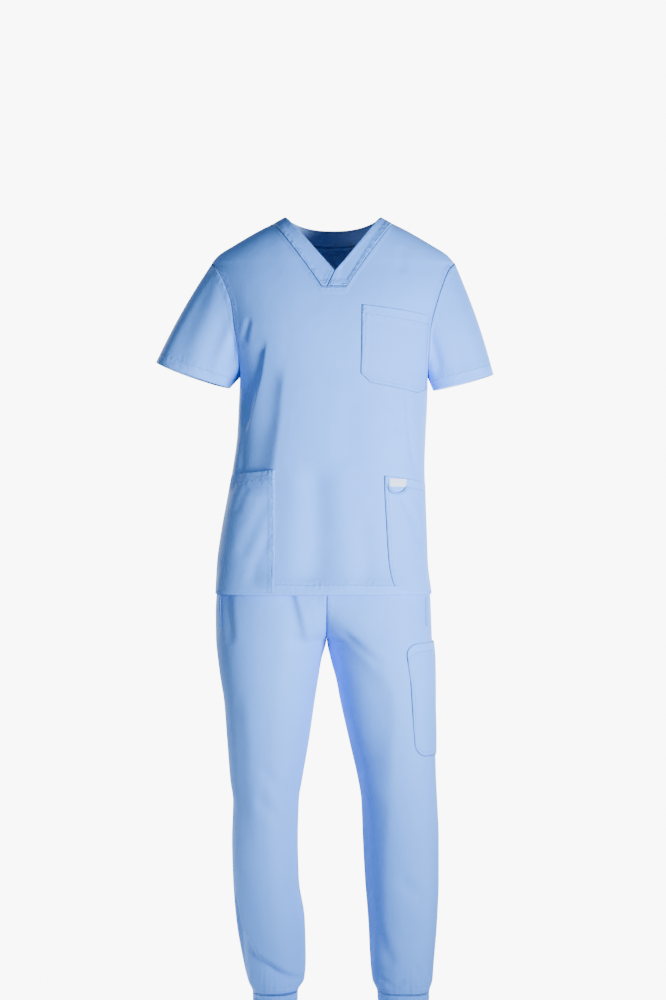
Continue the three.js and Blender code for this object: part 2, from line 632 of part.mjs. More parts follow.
// The four panels' sections joined into one ring round the waist.
function waistRing(z) {
  const ring = [];
  for (let c = legColumns; c > 0; c -= 1) ring.push(legPoint('right', FRONT, c, z));
  for (let c = 0; c < legColumns; c += 1) ring.push(legPoint('right', BACK, c, z));
  for (let c = legColumns; c > 0; c -= 1) ring.push(legPoint('left', BACK, c, z));
  for (let c = 0; c < legColumns; c += 1) ring.push(legPoint('left', FRONT, c, z));
  return ring;
}

function legRing(side, z) {
  const ring = [];
  for (let c = 0; c < legColumns; c += 1) ring.push(legPoint(side, FRONT, c, z));
  for (let c = legColumns; c > 0; c -= 1) ring.push(legPoint(side, BACK, c, z));
  return ring;
}

function ringPanel(name, heights, ringAt, flip) {
  return makePanel(name, heights.map(ringAt), { wall: BAND_WALL, wrap: true, flip });
}

// A patch on a panel: it takes the panel's own points inside its outline and
// lies off them by the lay gap.
function pointOnColumn(panel, column, z) {
  const { rows, normals } = panel;
  let j = 0;
  while (j < rows.length - 2 && rows[j + 1][column].z < z) j += 1;
  const low = rows[j][column];
  const high = rows[j + 1][column];
  const share = THREE.MathUtils.clamp((z - low.z) / (high.z - low.z), 0, 1);
  return {
    point: low.clone().lerp(high, share),
    normal: normals[j][column].clone().lerp(normals[j + 1][column], share).normalize(),
  };
}

function patchPanel(name, panel, first, last, { top, foot }, lift = LAY_GAP) {
  const columns = [];
  for (let column = first; column <= last; column += 1) columns.push(column);
  const footAt = columns.map((_, k) => outline(foot, k / (columns.length - 1)));
  const topAt = columns.map((_, k) => outline(top, k / (columns.length - 1)));
  const inside = panel.rows.map((_, j) => j).filter((j) => columns.every((column, k) => {
    const { z } = panel.rows[j][column];
    return z > footAt[k] + EDGE_ROOM && z < topAt[k] - EDGE_ROOM;
  }));
  const insideZ = (j, column) => panel.rows[inside[j]][column].z;
  const steps = inside.length + 3;
  const rows = [];
  const normals = [];
  for (let j = 0; j <= steps; j += 1) {
    const row = [];
    const rowNormals = [];
    columns.forEach((column, k) => {
      let z = j === 0 ? footAt[k] : topAt[k];
      if (j === 1) z = (footAt[k] + insideZ(0, column)) / 2;
      if (j === steps - 1) z = (topAt[k] + insideZ(inside.length - 1, column)) / 2;
      if (j > 1 && j < steps - 1) z = insideZ(j - 2, column);
      const { point, normal } = pointOnColumn(panel, column, z);
      row.push(point.addScaledVector(normal, lift + POCKET_WALL));
      rowNormals.push(normal);
    });
    rows.push(row);
    normals.push(rowNormals);
  }
  return { name, rows, normals, wall: POCKET_WALL, wrap: false, flip: panel.flip };
}

// The cargo pocket wraps the side seam of the wearer's left leg.
function cargoPanel(name, front, back) {
  const places = [];
  for (let c = CARGO_COLUMNS; c > 0; c -= 1) places.push([front, c]);
  for (let c = 0; c <= CARGO_COLUMNS; c += 1) places.push([back, c]);
  const inside = LEG_ROWS.filter((z) => z < CARGO_POCKET.topZ - CARGO_POCKET.corner
    && z > CARGO_POCKET.footZ + CARGO_POCKET.corner).reverse();
  const steps = inside.length + 1;
  const rows = [];
  const normals = [];
  for (let j = 0; j <= steps; j += 1) {
    const row = [];
    const rowNormals = [];
    places.forEach(([panel, column], k) => {
      const toEdge = Math.min(k, places.length - 1 - k);
      const cornerShare = [1, CARGO_POCKET.nextColumn][toEdge] ?? 0;
      const cut = CARGO_POCKET.corner * cornerShare;
      let z = inside[j - 1];
      if (j === 0) z = CARGO_POCKET.footZ + cut;
      if (j === steps) z = CARGO_POCKET.topZ - cut;
      const { point, normal } = pointOnColumn(panel, column, z);
      row.push(point.addScaledVector(normal, WRAP_GAP + POCKET_WALL));
      rowNormals.push(normal);
    });
    rows.push(row);
    normals.push(rowNormals);
  }
  return { name, rows, normals, wall: POCKET_WALL, wrap: false, flip: false };
}

// A narrow facing along the slanted mouth of a side pocket.
function slantPanel(name, panel, side) {
  const rows = [];
  const normals = [];
  for (let j = 0; j <= SLANT_POCKET.rows; j += 1) {
    const share = j / SLANT_POCKET.rows;
    const z = THREE.MathUtils.lerp(SLANT_POCKET.footZ, SLANT_POCKET.topZ, share);
    const start = THREE.MathUtils.lerp(SLANT_POCKET.footColumn, SLANT_POCKET.topColumn, share);
    const row = [];
    const rowNormals = [];
    for (let k = 0; k <= 1; k += 1) {
      const column = start + k * SLANT_POCKET.columns;
      const before = pointOnColumn(panel, Math.floor(column), z);
      const after = pointOnColumn(panel, Math.floor(column) + 1, z);
      const normal = before.normal.lerp(after.normal, column % 1).normalize();
      row.push(before.point.lerp(after.point, column % 1));
      row[k].addScaledVector(normal, WRAP_GAP + TRIM_WALL);
      rowNormals.push(normal);
    }
    rows.push(row);
    normals.push(rowNormals);
  }
  return { name, rows, normals, wall: TRIM_WALL, wrap: false, flip: side === 'left' };
}

// Nearest place on a patch for a given x and z, off its outer skin.
function pointOnPatch(patch, x, z) {
  const { rows, normals } = patch;
  let j = 0;
  while (j < rows.length - 2 && rows[j + 1][0].z < z) j += 1;
  let i = 0;
  while (i < rows[0].length - 2 && rows[j][i + 1].x < x) i += 1;
  const across = (x - rows[j][i].x) / (rows[j][i + 1].x - rows[j][i].x);
  const up = (z - rows[j][i].z) / (rows[j + 1][i].z - rows[j][i].z);
  const low = rows[j][i].clone().lerp(rows[j][i + 1], across);
  const high = rows[j + 1][i].clone().lerp(rows[j + 1][i + 1], across);
  return { point: low.lerp(high, up), normal: normals[j][i].clone() };
}

function labelPanel(name, patch) {
  const rows = [];
  const normals = [];
  for (let j = 0; j <= LABEL.rows; j += 1) {
    const row = [];
    const rowNormals = [];
    for (let k = 0; k <= LABEL.columns; k += 1) {
      const x = LABEL.x + LABEL.width * (k / LABEL.columns - 0.5);
      const z = LABEL.z + LABEL.height * (j / LABEL.rows - 0.5);
      const { point, normal } = pointOnPatch(patch, x, z);
      row.push(point.addScaledVector(normal, LAY_GAP + TRIM_WALL));
      rowNormals.push(normal);
    }
    rows.push(row);
    normals.push(rowNormals);
  }
  return { name, rows, normals, wall: TRIM_WALL, wrap: false, flip: false };
}

// The elastic badge loop hangs in a half ring below the label.
function badgeLoopMesh(name, patch) {
  const radius = BADGE_LOOP.thickness / 2;
  const topZ = LABEL.z - LABEL.height / 2 - SEAM_GAP - radius;
  const points = [];
  for (let k = 0; k <= BADGE_LOOP.bends; k += 1) {
    const turn = (k / BADGE_LOOP.bends) * Math.PI;
    const x = LABEL.x - Math.cos(turn) * (BADGE_LOOP.width / 2 - radius);
    const z = topZ - Math.sin(turn) * BADGE_LOOP.drop;
    const { point, normal } = pointOnPatch(patch, x, z);
    points.push(point.addScaledVector(normal, LAY_GAP + radius));
  }
  const circle = new THREE.Shape();
  circle.absarc(0, 0, radius, 0, Math.PI * 2);
  const geometry = new THREE.ExtrudeGeometry(circle, {
    steps: BADGE_LOOP.steps,
    curveSegments: BADGE_LOOP.sides,
    bevelEnabled: false,
    extrudePath: new THREE.CatmullRomCurve3(points),
  });
  const mesh = new THREE.Mesh(geometry, cloth());
  mesh.name = name;
  return mesh;
}

function buildTop() {
  const front = torsoPanel('top_front', FRONT, TOP_FRONT_FOLDS);
  const back = torsoPanel('top_back', BACK, TOP_BACK_FOLDS);
  const sleeves = SLEEVES.map(sleevePanel);
  const bandRight = frontBand('neckband_right_front', NECK_RIGHT, FOOT_RIGHT + 1, front);
  const bandLeft = frontBand('neckband_left_front', NECK_LEFT, FOOT_RIGHT + 1, front);
  const bandBack = backBand('neckband_back', back);
  mitreSeams([front, back, ...sleeves, bandRight, bandLeft, bandBack]);

  const half = SEAM_GAP / 2;
  const pockets = [
    patchPanel('chest_pocket', front, CHEST_EDGE, columnTotal - 2, CHEST_POCKET),
    patchPanel('lower_pocket_right', front, 1, NECK_RIGHT, LOWER_POCKET_RIGHT),
    patchPanel('lower_pocket_left', front, NECK_LEFT, columnTotal - 1, LOWER_POCKET_LEFT),
  ];
  const vent = (z) => VENT_SPREAD * Math.max(0, (TOP_HEM_Z + VENT_HEIGHT - z) / VENT_HEIGHT);
  [[front, FRONT], [back, BACK]].forEach(([panel, face]) => {
    ['start', 'end'].forEach((edge) => {
      trimEdge(panel, edge, (point, drawBack) => {
        if (point.z > UNDERARM_Z + 0.5) return drawBack(SEAM_GAP);
        const down = point.z > UNDERARM_Z - 0.5 ? -SEAM_GAP : 0;
        return new THREE.Vector3(0, face * (half + vent(point.z)), down);
      });
    });
    trimEdge(panel, 'top', (point, drawBack, column) => {
      const onShoulder = column <= NECK_RIGHT || column >= NECK_LEFT;
      return onShoulder ? new THREE.Vector3(0, face * half, 0) : drawBack(half);
    });
  });
  sleeves.forEach((sleeve) => trimEdge(sleeve, 'foot', SEAM_GAP));
  [bandRight, bandLeft].forEach((band) => {
    trimEdge(band, 'foot', SEAM_GAP);
    trimEdge(band, 'start', () => new THREE.Vector3(0, FRONT * half, 0));
    trimEdge(band, 'end', half);
  });
  trimEdge(bandBack, 'foot', SEAM_GAP);
  trimEdge(bandBack, 'start', () => new THREE.Vector3(0, BACK * half, 0));
  trimEdge(bandBack, 'end', () => new THREE.Vector3(0, BACK * half, 0));

  const group = new THREE.Group();
  [front, back, ...sleeves, bandRight, bandLeft, bandBack, ...pockets].forEach((panel) => {
    group.add(panelMesh(panel));
  });
  group.add(panelMesh(labelPanel('pocket_label', pockets[2]), LABEL_CLOTH));
  group.add(badgeLoopMesh('badge_loop', pockets[2]));
  return group;
}

function buildTrousers() {
  const frontRight = legPanel('trouser_front_right', 'right', FRONT, TROUSER_FRONT_FOLDS);
  const backRight = legPanel('trouser_back_right', 'right', BACK, TROUSER_BACK_FOLDS);
  const frontLeft = legPanel('trouser_front_left', 'left', FRONT, TROUSER_FRONT_FOLDS);
  const backLeft = legPanel('trouser_back_left', 'left', BACK, TROUSER_BACK_FOLDS);
  const panels = [frontRight, backRight, frontLeft, backLeft];
  const waistHeights = [WAIST_FOOT_Z, (WAIST_FOOT_Z + WAIST_TOP_Z) / 2, WAIST_TOP_Z];
  const waistband = ringPanel('waistband', waistHeights, waistRing, true);
  const cuffHeights = [];
  for (let k = CUFF_ROWS; k >= 0; k -= 1) {
    cuffHeights.push(THREE.MathUtils.lerp(CUFF_TOP_Z, CUFF_FOOT_Z, k / CUFF_ROWS));
  }
  const cuffRight = ringPanel('cuff_right', cuffHeights, (z) => legRing('right', z), false);
  const cuffLeft = ringPanel('cuff_left', cuffHeights, (z) => legRing('left', z), true);
  mitreSeams([...panels, waistband, cuffRight, cuffLeft]);
  const cargo = cargoPanel('cargo_pocket', frontLeft, backLeft);
  const slants = [
    slantPanel('side_pocket_facing_right', frontRight, 'right'),
    slantPanel('side_pocket_facing_left', frontLeft, 'left'),
  ];

  const half = SEAM_GAP / 2;
  const faces = [
    [frontRight, FRONT, -1],
    [backRight, BACK, -1],
    [frontLeft, FRONT, 1],
    [backLeft, BACK, 1],
  ];
  faces.forEach(([panel, face, side]) => {
    trimEdge(panel, 'start', () => new THREE.Vector3(0, face * half, 0));
    trimEdge(panel, 'end', (point) => new THREE.Vector3(
      point.z >= CROTCH_Z - 0.5 ? side * half : 0,
      point.z <= CROTCH_Z + 0.5 ? face * half : 0,
      0,
    ));
    trimEdge(panel, 'foot', () => new THREE.Vector3(0, 0, half));
    trimEdge(panel, 'top', () => new THREE.Vector3(0, 0, -half));
  });
  trimEdge(waistband, 'foot', () => new THREE.Vector3(0, 0, half));
  [cuffRight, cuffLeft].forEach((cuff) => {
    trimEdge(cuff, 'top', () => new THREE.Vector3(0, 0, -half));
  });

  const group = new THREE.Group();
  [...panels, waistband, cuffRight, cuffLeft, cargo, ...slants].forEach((panel) => {
    group.add(panelMesh(panel));
  });
  return group;
}

const scrubs = new THREE.Group();
scrubs.add(buildTop());
scrubs.add(buildTrousers());

export default scrubs;
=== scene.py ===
"""Medical scrubs, worn and filled out: a V-neck top and jogger trousers.

The cloth follows the same sections as the solids, in millimetres, and is
turned to metres where a piece gets its mesh. +Z is up, -Y is the front.
"""
import math

import bmesh
import bpy
import numpy as np
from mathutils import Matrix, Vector


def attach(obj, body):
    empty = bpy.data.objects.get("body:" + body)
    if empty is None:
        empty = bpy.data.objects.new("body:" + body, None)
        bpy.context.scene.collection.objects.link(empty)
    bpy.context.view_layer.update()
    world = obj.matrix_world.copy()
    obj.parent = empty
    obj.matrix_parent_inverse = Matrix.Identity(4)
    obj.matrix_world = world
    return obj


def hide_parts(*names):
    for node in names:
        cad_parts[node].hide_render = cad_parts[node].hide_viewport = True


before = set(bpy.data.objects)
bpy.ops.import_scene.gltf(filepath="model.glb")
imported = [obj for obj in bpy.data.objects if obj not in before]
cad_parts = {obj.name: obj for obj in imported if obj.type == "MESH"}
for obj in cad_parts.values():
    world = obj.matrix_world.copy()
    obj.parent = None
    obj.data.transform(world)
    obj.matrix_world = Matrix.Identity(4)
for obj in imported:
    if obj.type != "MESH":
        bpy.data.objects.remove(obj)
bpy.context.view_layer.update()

MM = 0.001
FRONT = -1
BACK = 1

# Heights and widths of the top
UNDERARM_Z = -302
SHOULDER_Z = -86
TOP_HEM_Z = -707
VENT_HEIGHT = 57
VENT_SPREAD = 5
HEM_FLARE = 6
HEM_FLARE_HEIGHT = 60
NECK_HALF = 89
NECK_APEX_X = 4
NECK_APEX_Z = -109
NECK_BACK_DIP = 20
NECKBAND_WIDTH = 31
BAND_FOOT_Z = -139
ROLL = 2.2
SLEEVE_PUFF = 5

# Heights of the trousers
WAIST_TOP_Z = -495
WAIST_FOOT_Z = -540
CROTCH_Z = -791
CUFF_TOP_Z = -1456
CUFF_FOOT_Z = -1520


class Table:
    """Rows of named columns, read as smooth curves that never overshoot."""

    def __init__(self, columns, rows):
        self.columns = columns.split()
        self.rows = np.array(sorted(rows), float)

    def read(self, column, position):
        at = self.rows[:, 0]
        value = self.rows[:, self.columns.index(column)]
        step = np.diff(at)
        slope = np.diff(value) / step
        product = slope[:-1] * slope[1:]
        total = np.where(product > 0, slope[:-1] + slope[1:], 1)
        inner = np.where(product > 0, 2 * product / total, 0)
        tangent = np.concatenate([slope[:1], inner, slope[-1:]])
        place = np.clip(position, at[0], at[-1])
        k = np.clip(np.searchsorted(at, place, side="right") - 1, 0, len(step) - 1)
        s = (place - at[k]) / step[k]
        rise = s * s * (3 - 2 * s)
        bend = step[k] * s * (1 - s)
        return (value[k] + (value[k + 1] - value[k]) * rise
                + bend * ((1 - s) * tangent[k] - s * tangent[k + 1]))


TORSO = Table("z right left front back round armhole", [
    (-707, -221, 185, 131, 128, 2.9, 0),
    (-650, -218, 178, 128, 125, 2.8, 0),
    (-590, -210, 176, 125, 120, 2.6, 0),
    (-530, -199, 174, 124, 114, 2.5, 0),
    (-470, -188, 172, 124, 109, 2.5, 0),
    (-410, -180, 174, 126, 107, 2.5, 0),
    (-350, -177, 177, 128, 109, 2.5, 0),
    (-302, -175, 178, 128, 113, 2.5, 0),
    (-285, -175, 178, 128, 114, 2.5, 36),
    (-250, -178, 179, 128, 115, 2.5, 56),
    (-209, -184, 182, 127, 116, 2.5, 63),
    (-165, -190, 193, 126, 116, 2.5, 59),
    (-128, -203, 205, 125, 115, 2.5, 46),
    (-100, -217, 217, 124, 114, 2.5, 26),
    (-86, -227, 229, 124, 114, 2.5, 0),
])
RIDGE = Table("x height", [
    (0, 14), (60, 9), (89, 0), (113, -13), (137, -25), (187, -54), (214, -71), (228, -86),
])
COLUMN_LINES = Table("z outer foot_right foot_left chest inner", [
    (-707, -105, -32, 12, 62, 120),
    (-678, -105, -32, 12, 58, 107),
    (-632, -105, -31, 12, 55, 101),
    (-580, -105, -30, 14, 54, 98),
    (-486, -106, -26, 20, 53, 94),
    (-340, -108, -22, 24, 50, 104),
    (-240, -110, -22, 25, 52, 110),
    (-171, -112, -22, 25, 53, 112),
    (-139, -113, -22, 25, 57, 113),
    (-90, -113, -22, 25, 65, 113),
    (0, -113, -22, 25, 65, 113),
])
COLUMN_COUNTS = [8, 6, 4, 3, 4, 8]
COLUMN_STARTS = np.concatenate([[0], np.cumsum(COLUMN_COUNTS)])
COLUMNS = int(COLUMN_STARTS[-1])
NECK_RIGHT, FOOT_RIGHT, _, CHEST_EDGE, NECK_LEFT = COLUMN_STARTS[1:6]
BAND_CORNER_X = 113
ROWS_BODY = 13
ROWS_ARMHOLE = 9

LEGS = Table("z front back right_outer right_crest right_inner left_outer left_crest left_inner", [
    (-495, 98, 84, -158, -70, -10, 139, 50, -10),
    (-540, 102, 90, -172, -70, -10, 150, 50, -10),
    (-600, 107, 101, -196, -72, -11, 166, 50, -11),
    (-660, 114, 111, -211, -75, -12, 173, 50, -12),
    (-707, 119, 118, -218.8, -78, -12, 182.4, 52, -12),
    (-740, 121, 122, -220.5, -84, -12, 184, 58, -12),
    (-791, 116, 122, -220, -100, -12, 186, 75, -12),
    (-833, 108, 112, -216, -110, -22, 190, 86, -4),
    (-870, 102, 103, -211, -114, -28, 190, 96, 6),
    (-907, 97, 95, -205, -116, -34, 190, 101, 13),
    (-983, 88, 82, -199, -119, -45, 192, 110, 30),
    (-1058, 80, 73, -193, -122, -58, 194, 120, 47),
    (-1096, 77, 71, -188, -124, -64, 196, 124, 53),
    (-1171, 71, 73, -190, -126, -66, 199, 128, 56),
    (-1246, 66, 77, -188, -124, -64, 199, 130, 60),
    (-1321, 62, 75, -182, -116, -53, 196, 131, 66),
    (-1397, 58, 67, -169, -109, -51, 190, 130, 70),
    (-1434, 54, 60, -160, -108, -54, 187, 131, 74),
    (-1456, 43, 45, -151, -108, -66, 181, 133, 83),
    (-1520, 42, 44, -149, -108, -68, 179, 133, 87),
])
LEG_ROUND = 2.4
LEG_OUTER_COLUMNS = 7
LEG_INNER_COLUMNS = 4
LEG_COLUMN_COUNT = LEG_OUTER_COLUMNS + LEG_INNER_COLUMNS
RISE_START = {FRONT: -668, BACK: -640}
CROTCH_Y = 8

# Sleeve hems: the point next to the body, the outer point, half depth, droop
SLEEVES = {
    "right": dict(side=-1, inner=(-193, -321), outer=(-333, -273), depth=55, droop=5),
    "left": dict(side=1, inner=(188, -326), outer=(302, -296), depth=52, droop=2),
}

# Folds in front view. Each row has the points of its line, from the top down,
# its width at the start and the end, its depth where it is widest, and its shape
# where it isn't an even trough: "crest" falls off sharply beside its line, "bank"
# falls off smoothly and "valley" rises steeply, all with that slope towards -X.
FOLDS = {
    ("top", FRONT): [
        ([(-120, -238), (-132, -293), (-150, -357), (-164, -410)], 10, 22, 13, "crest"),
        ([(-84, -280), (-92, -335), (-95, -385), (-101, -430), (-107, -475), (-112, -530)],
         26, 62, 14.5, "bank"),
        ([(-154, -196), (-166, -240)], 5, 6, 3),
        ([(101, -326), (118, -372), (124, -414)], 7, 9, 3),
        ([(139, -328), (138, -385), (147, -443), (152, -476)], 4, 5, 2.6),
        ([(-34, -462), (-30, -540), (-30, -610), (-38, -704)], 24, 32, 9),
        ([(-118, -525), (-146, -583), (-170, -643)], 9, 11, 1.4),
        ([(-112, -587), (-142, -652), (-150, -694)], 9, 9, 1.2),
        ([(-158, -506), (-178, -560)], 7, 8, 1),
        ([(119, -513), (147, -568), (160, -621)], 7, 9, 2.6),
        ([(128, -60), (127, -112)], 9, 9, 1.6),
        ([(52, -560), (62, -640), (58, -700)], 16, 18, 2.4),
        ([(40, -330), (30, -400), (34, -470)], 22, 26, 2),
    ],
    ("top", BACK): [
        ([(-152, -222), (-132, -290), (-120, -380), (-131, -466)], 8, 17, 7, "valley"),
        ([(154, -220), (136, -292), (126, -372), (138, -460)], 8, 16, 6, "crest"),
        ([(-86, -180), (-72, -290), (-62, -410)], 14, 20, 4),
        ([(72, -220), (86, -340), (98, -450)], 13, 18, 4),
        ([(-96, -500), (-10, -488), (84, -506)], 13, 15, 5),
        ([(-60, -560), (24, -548), (104, -566)], 11, 13, 3.5),
        ([(6, -570), (16, -630), (20, -702)], 18, 24, 5, "crest"),
        ([(-116, -560), (-146, -620), (-160, -694)], 8, 12, 3),
        ([(112, -575), (136, -630), (146, -690)], 8, 12, 3),
        ([(-34, -90), (4, -102), (40, -92)], 8, 8, 2),
    ],
    ("leg", FRONT): [
        ([(-72, -660), (-68, -709), (-59, -744), (-49, -783), (-49, -815)], 9, 12, 8, "crest"),
        ([(-74, -775), (-61, -818), (-51, -852)], 9, 12, 2.5),
        ([(-197, -700), (-194, -745), (-190, -800)], 8, 9, 3),
        ([(-132, -1030), (-104, -1062), (-78, -1088)], 11, 12, 2.2),
        ([(-144, -1082), (-112, -1112), (-86, -1138)], 11, 12, 2.2),
        ([(-178, -880), (-172, -1020), (-164, -1180)], 12, 15, 2.5),
        ([(-184, -1250), (-168, -1330), (-139, -1379), (-90, -1408), (-36, -1430)], 11, 11, 11, "crest"),
        ([(-128, -1392), (-104, -1414), (-84, -1422)], 4, 4, 2),
        ([(0, -738), (90, -838), (112, -885), (118, -940), (112, -1010), (104, -1090)],
         36, 46, 7, "bank"),
        ([(108, -1060), (102, -1180), (100, -1300), (104, -1400)], 36, 38, 4.5, "bank"),
        ([(12, -772), (50, -805), (94, -842)], 7, 9, 3),
        ([(84, -1330), (98, -1372), (112, -1400)], 10, 11, 3),
        ([(82, -1424), (112, -1438), (138, -1426)], 5, 5, 3.5),
        ([(122, -1228), (146, -1258), (172, -1280)], 13, 14, 2.2),
        ([(150, -1398), (166, -1416), (174, -1436)], 6, 6, 2.6),
    ],
    ("leg", BACK): [
        ([(-134, -852), (-108, -884), (-76, -904)], 11, 13, 5),
        ([(134, -850), (106, -888), (74, -912)], 11, 13, 5),
        ([(-150, -906), (-118, -934), (-88, -946)], 9, 11, 3),
        ([(148, -908), (118, -938), (92, -950)], 9, 11, 3),
        ([(-166, -1136), (-132, -1116), (-94, -1110)], 10, 12, 5),
        ([(92, -1118), (130, -1122), (168, -1142)], 10, 12, 5),
        ([(-160, -1180), (-128, -1160), (-100, -1158)], 8, 10, 3),
        ([(98, -1164), (128, -1168), (166, -1188)], 8, 10, 3),
        ([(-152, -1384), (-116, -1408), (-80, -1420)], 7, 9, 5),
        ([(96, -1420), (130, -1410), (164, -1388)], 7, 9, 5),
    ],
}


def smoothstep(low, high, value):
    share = np.clip((value - low) / (high - low), 0, 1)
    return share * share * (3 - 2 * share)


def mix(a, b, share):
    return a + (b - a) * share


def unit(vectors):
    """The same directions at length one."""
    return vectors / np.maximum(np.linalg.norm(vectors, axis=-1, keepdims=True), 1e-9)


def moved_out(points, normals, distance):
    return points + normals * distance[..., None]


def bell(away, middle=0, width=1):
    return np.exp(-((away - middle) / width) ** 2)


def fold_shape(away, shape="trough"):
    """Depth across a fold as a share of its own: away is in widths, +X positive."""
    steep, gentle = np.clip(away, 0, None), np.clip(-away, 0, None)
    fall = gentle * np.exp(1 - gentle)
    if shape == "crest":
        return fall - 0.1 * bell(away)
    if shape == "bank":
        return fall ** 2
    if shape == "valley":
        return np.exp(-2.2 * steep - 0.7 * gentle) - 0.25 * bell(away, 1.3)
    return bell(away) - 0.2 * bell(np.abs(away), 1.8, 0.9)


def fold_depth(garment, face, x, z):
    """How deep the cloth dips at places in front view."""
    depth = np.zeros_like(x)
    for line, width_start, width_end, deep, *shape in FOLDS[garment, face]:
        points = np.array(line, float)
        steps = np.linalg.norm(np.diff(points, axis=0), axis=1)
        before = np.concatenate([[0], np.cumsum(steps)])
        nearest = np.full_like(x, 1e9)
        side = np.zeros_like(x)
        along = np.zeros_like(x)
        for k, step in enumerate(steps):
            run, rise = (points[k + 1] - points[k]) / step
            off_x, off_z = x - points[k, 0], z - points[k, 1]
            reach = np.clip(off_x * run + off_z * rise, 0, step)
            distance = np.hypot(off_x - reach * run, off_z - reach * rise)
            closer = distance < nearest
            nearest = np.where(closer, distance, nearest)
            side = np.where(closer, np.sign(off_z * run - off_x * rise), side)
            along = np.where(closer, (before[k] + reach) / before[-1], along)
        width = mix(width_start, width_end, along ** 2)
        ends = smoothstep(0, 0.2, along + 0.02) * smoothstep(0, 0.2, 1.02 - along)
        scale = width / max(width_start, width_end)
        depth += deep * scale * ends * fold_shape(side * nearest / width, *shape)
    return depth


# The torso form

def torso_point(face, x, z):
    """A point of the smooth torso at a place in front view."""
    left, right = TORSO.read("left", z), TORSO.read("right", z)
    share = np.minimum(1, np.abs(x - (left + right) / 2) / ((left - right) / 2))
    bend = TORSO.read("round", z)
    depth = TORSO.read("front" if face == FRONT else "back", z)
    section = (1 - share ** bend) ** (1 / bend)
    ridge = RIDGE.read("height", np.abs(x))
    climb = np.clip((z - UNDERARM_Z) / (ridge - UNDERARM_Z), 0, 1)
    full = depth * section * (1 - climb ** ROLL) ** (1 / ROLL)
    y = face * np.cbrt(full ** 3 + TORSO.read("armhole", z) ** 3)
    return np.stack([x, y, z], axis=-1)


def column_x(column, z):
    """Where a column of the torso panels lies at a height."""
    lines = [TORSO.read("right", z)]
    lines += [COLUMN_LINES.read(name, z) for name in COLUMN_LINES.columns[1:]]
    lines += [TORSO.read("left", z)]
    x = np.zeros_like(z)
    last = len(COLUMN_COUNTS) - 1
    for k, count in enumerate(COLUMN_COUNTS):
        share = np.clip((column - COLUMN_STARTS[k]) / count, 0, 1)
        if k == 0:
            share = 1 - np.sin((1 - share) * math.pi / 2)
        if k == last:
            share = np.sin(share * math.pi / 2)
        inside = column >= COLUMN_STARTS[k]
        x = np.where(inside, mix(lines[k], lines[k + 1], share), x)
    return x


def panel_top(face, x):
    """Upper edge of a torso panel: shoulder seams, and the band seam between."""
    distance = np.abs(x)
    corner_z = RIDGE.read("height", BAND_CORNER_X)
    if face == BACK:
        dip = -(NECK_BACK_DIP + NECKBAND_WIDTH)
        middle = mix(dip, corner_z, np.clip(distance / BAND_CORNER_X, 0, 1) ** 2.5)
    else:
        foot = np.where(x < 0, -COLUMN_LINES.read("foot_right", BAND_FOOT_Z),
                        COLUMN_LINES.read("foot_left", BAND_FOOT_Z))
        share = np.clip((distance - foot) / (BAND_CORNER_X - foot), 0, 1)
        middle = mix(BAND_FOOT_Z, corner_z, share ** 0.94)
    return np.where(distance >= BAND_CORNER_X, RIDGE.read("height", distance), middle)


def column_top(face, column):
    """How high a column of a torso panel reaches, found by stepping to its edge."""
    z = np.full_like(column, float(BAND_FOOT_Z))
    for _ in range(40):
        z = (z + panel_top(face, column_x(column, z))) / 2
    side = (column <= 0) | (column >= COLUMNS)
    return np.where(side, SHOULDER_Z, z)


def torso_folds(face, x, z):
    """How deep the torso dips, with its hem flared and its side seams left still."""
    left, right = TORSO.read("left", z), TORSO.read("right", z)
    share = np.abs(x - (left + right) / 2) / ((left - right) / 2)
    flare = HEM_FLARE * smoothstep(0, HEM_FLARE_HEIGHT, TOP_HEM_Z + HEM_FLARE_HEIGHT - z)
    return (fold_depth("top", face, x, z) - flare) * (1 - smoothstep(0.93, 0.995, share))


def on_torso(face, x, z, lift):
    """Points on the folded torso at a place in front view, moved out by a lift."""
    step = 0.5
    point = torso_point(face, x, z)
    across = torso_point(face, x + step, z) - torso_point(face, x - step, z)
    up = torso_point(face, x, z + step) - torso_point(face, x, z - step)
    normal = unit(np.cross(across, up) * -face)
    return moved_out(point, normal, lift - torso_folds(face, x, z))


# The leg form

def inner_depth(face, z, depth):
    """Where a panel's inner edge lies in depth, from the inseam up the rise."""
    start = RISE_START[face]
    share = np.clip((start - z) / (start - CROTCH_Z), 0, 1)
    return mix(face * depth, CROTCH_Y, 1 - np.sqrt(1 - share ** 2.6))


def leg_point(side, face, column, z):
    """A point of a leg panel: its columns run from the outer seam to the inner edge."""
    depth = LEGS.read("front" if face == FRONT else "back", z)
    outer, crest, inner = (LEGS.read(f"{side}_{line}", z) for line in ("outer", "crest", "inner"))
    turn = np.clip(column / LEG_OUTER_COLUMNS, 0, 1) * math.pi / 2
    x = crest + (outer - crest) * np.abs(np.cos(turn)) ** (2 / LEG_ROUND)
    y = face * depth * np.sin(turn) ** (2 / LEG_ROUND)
    beyond = np.clip((column - LEG_OUTER_COLUMNS) / LEG_INNER_COLUMNS, 0, 1) * math.pi / 2
    edge_y = inner_depth(face, z, depth)
    inward = column > LEG_OUTER_COLUMNS
    x = np.where(inward, crest + (inner - crest) * np.sin(beyond), x)
    y = np.where(inward, edge_y + (face * depth - edge_y) * np.cos(beyond), y)
    return np.stack([x, y, z], axis=-1)


def leg_section(side):
    """The closed section of a leg: once round from u = 0 to u = 1."""
    def section(u, z):
        column = (1 - np.abs(2 * u - 1)) * LEG_COLUMN_COUNT
        front = leg_point(side, FRONT, column, z)
        back = leg_point(side, BACK, column, z)
        return np.where((u < 0.5)[..., None], front, back)
    return section


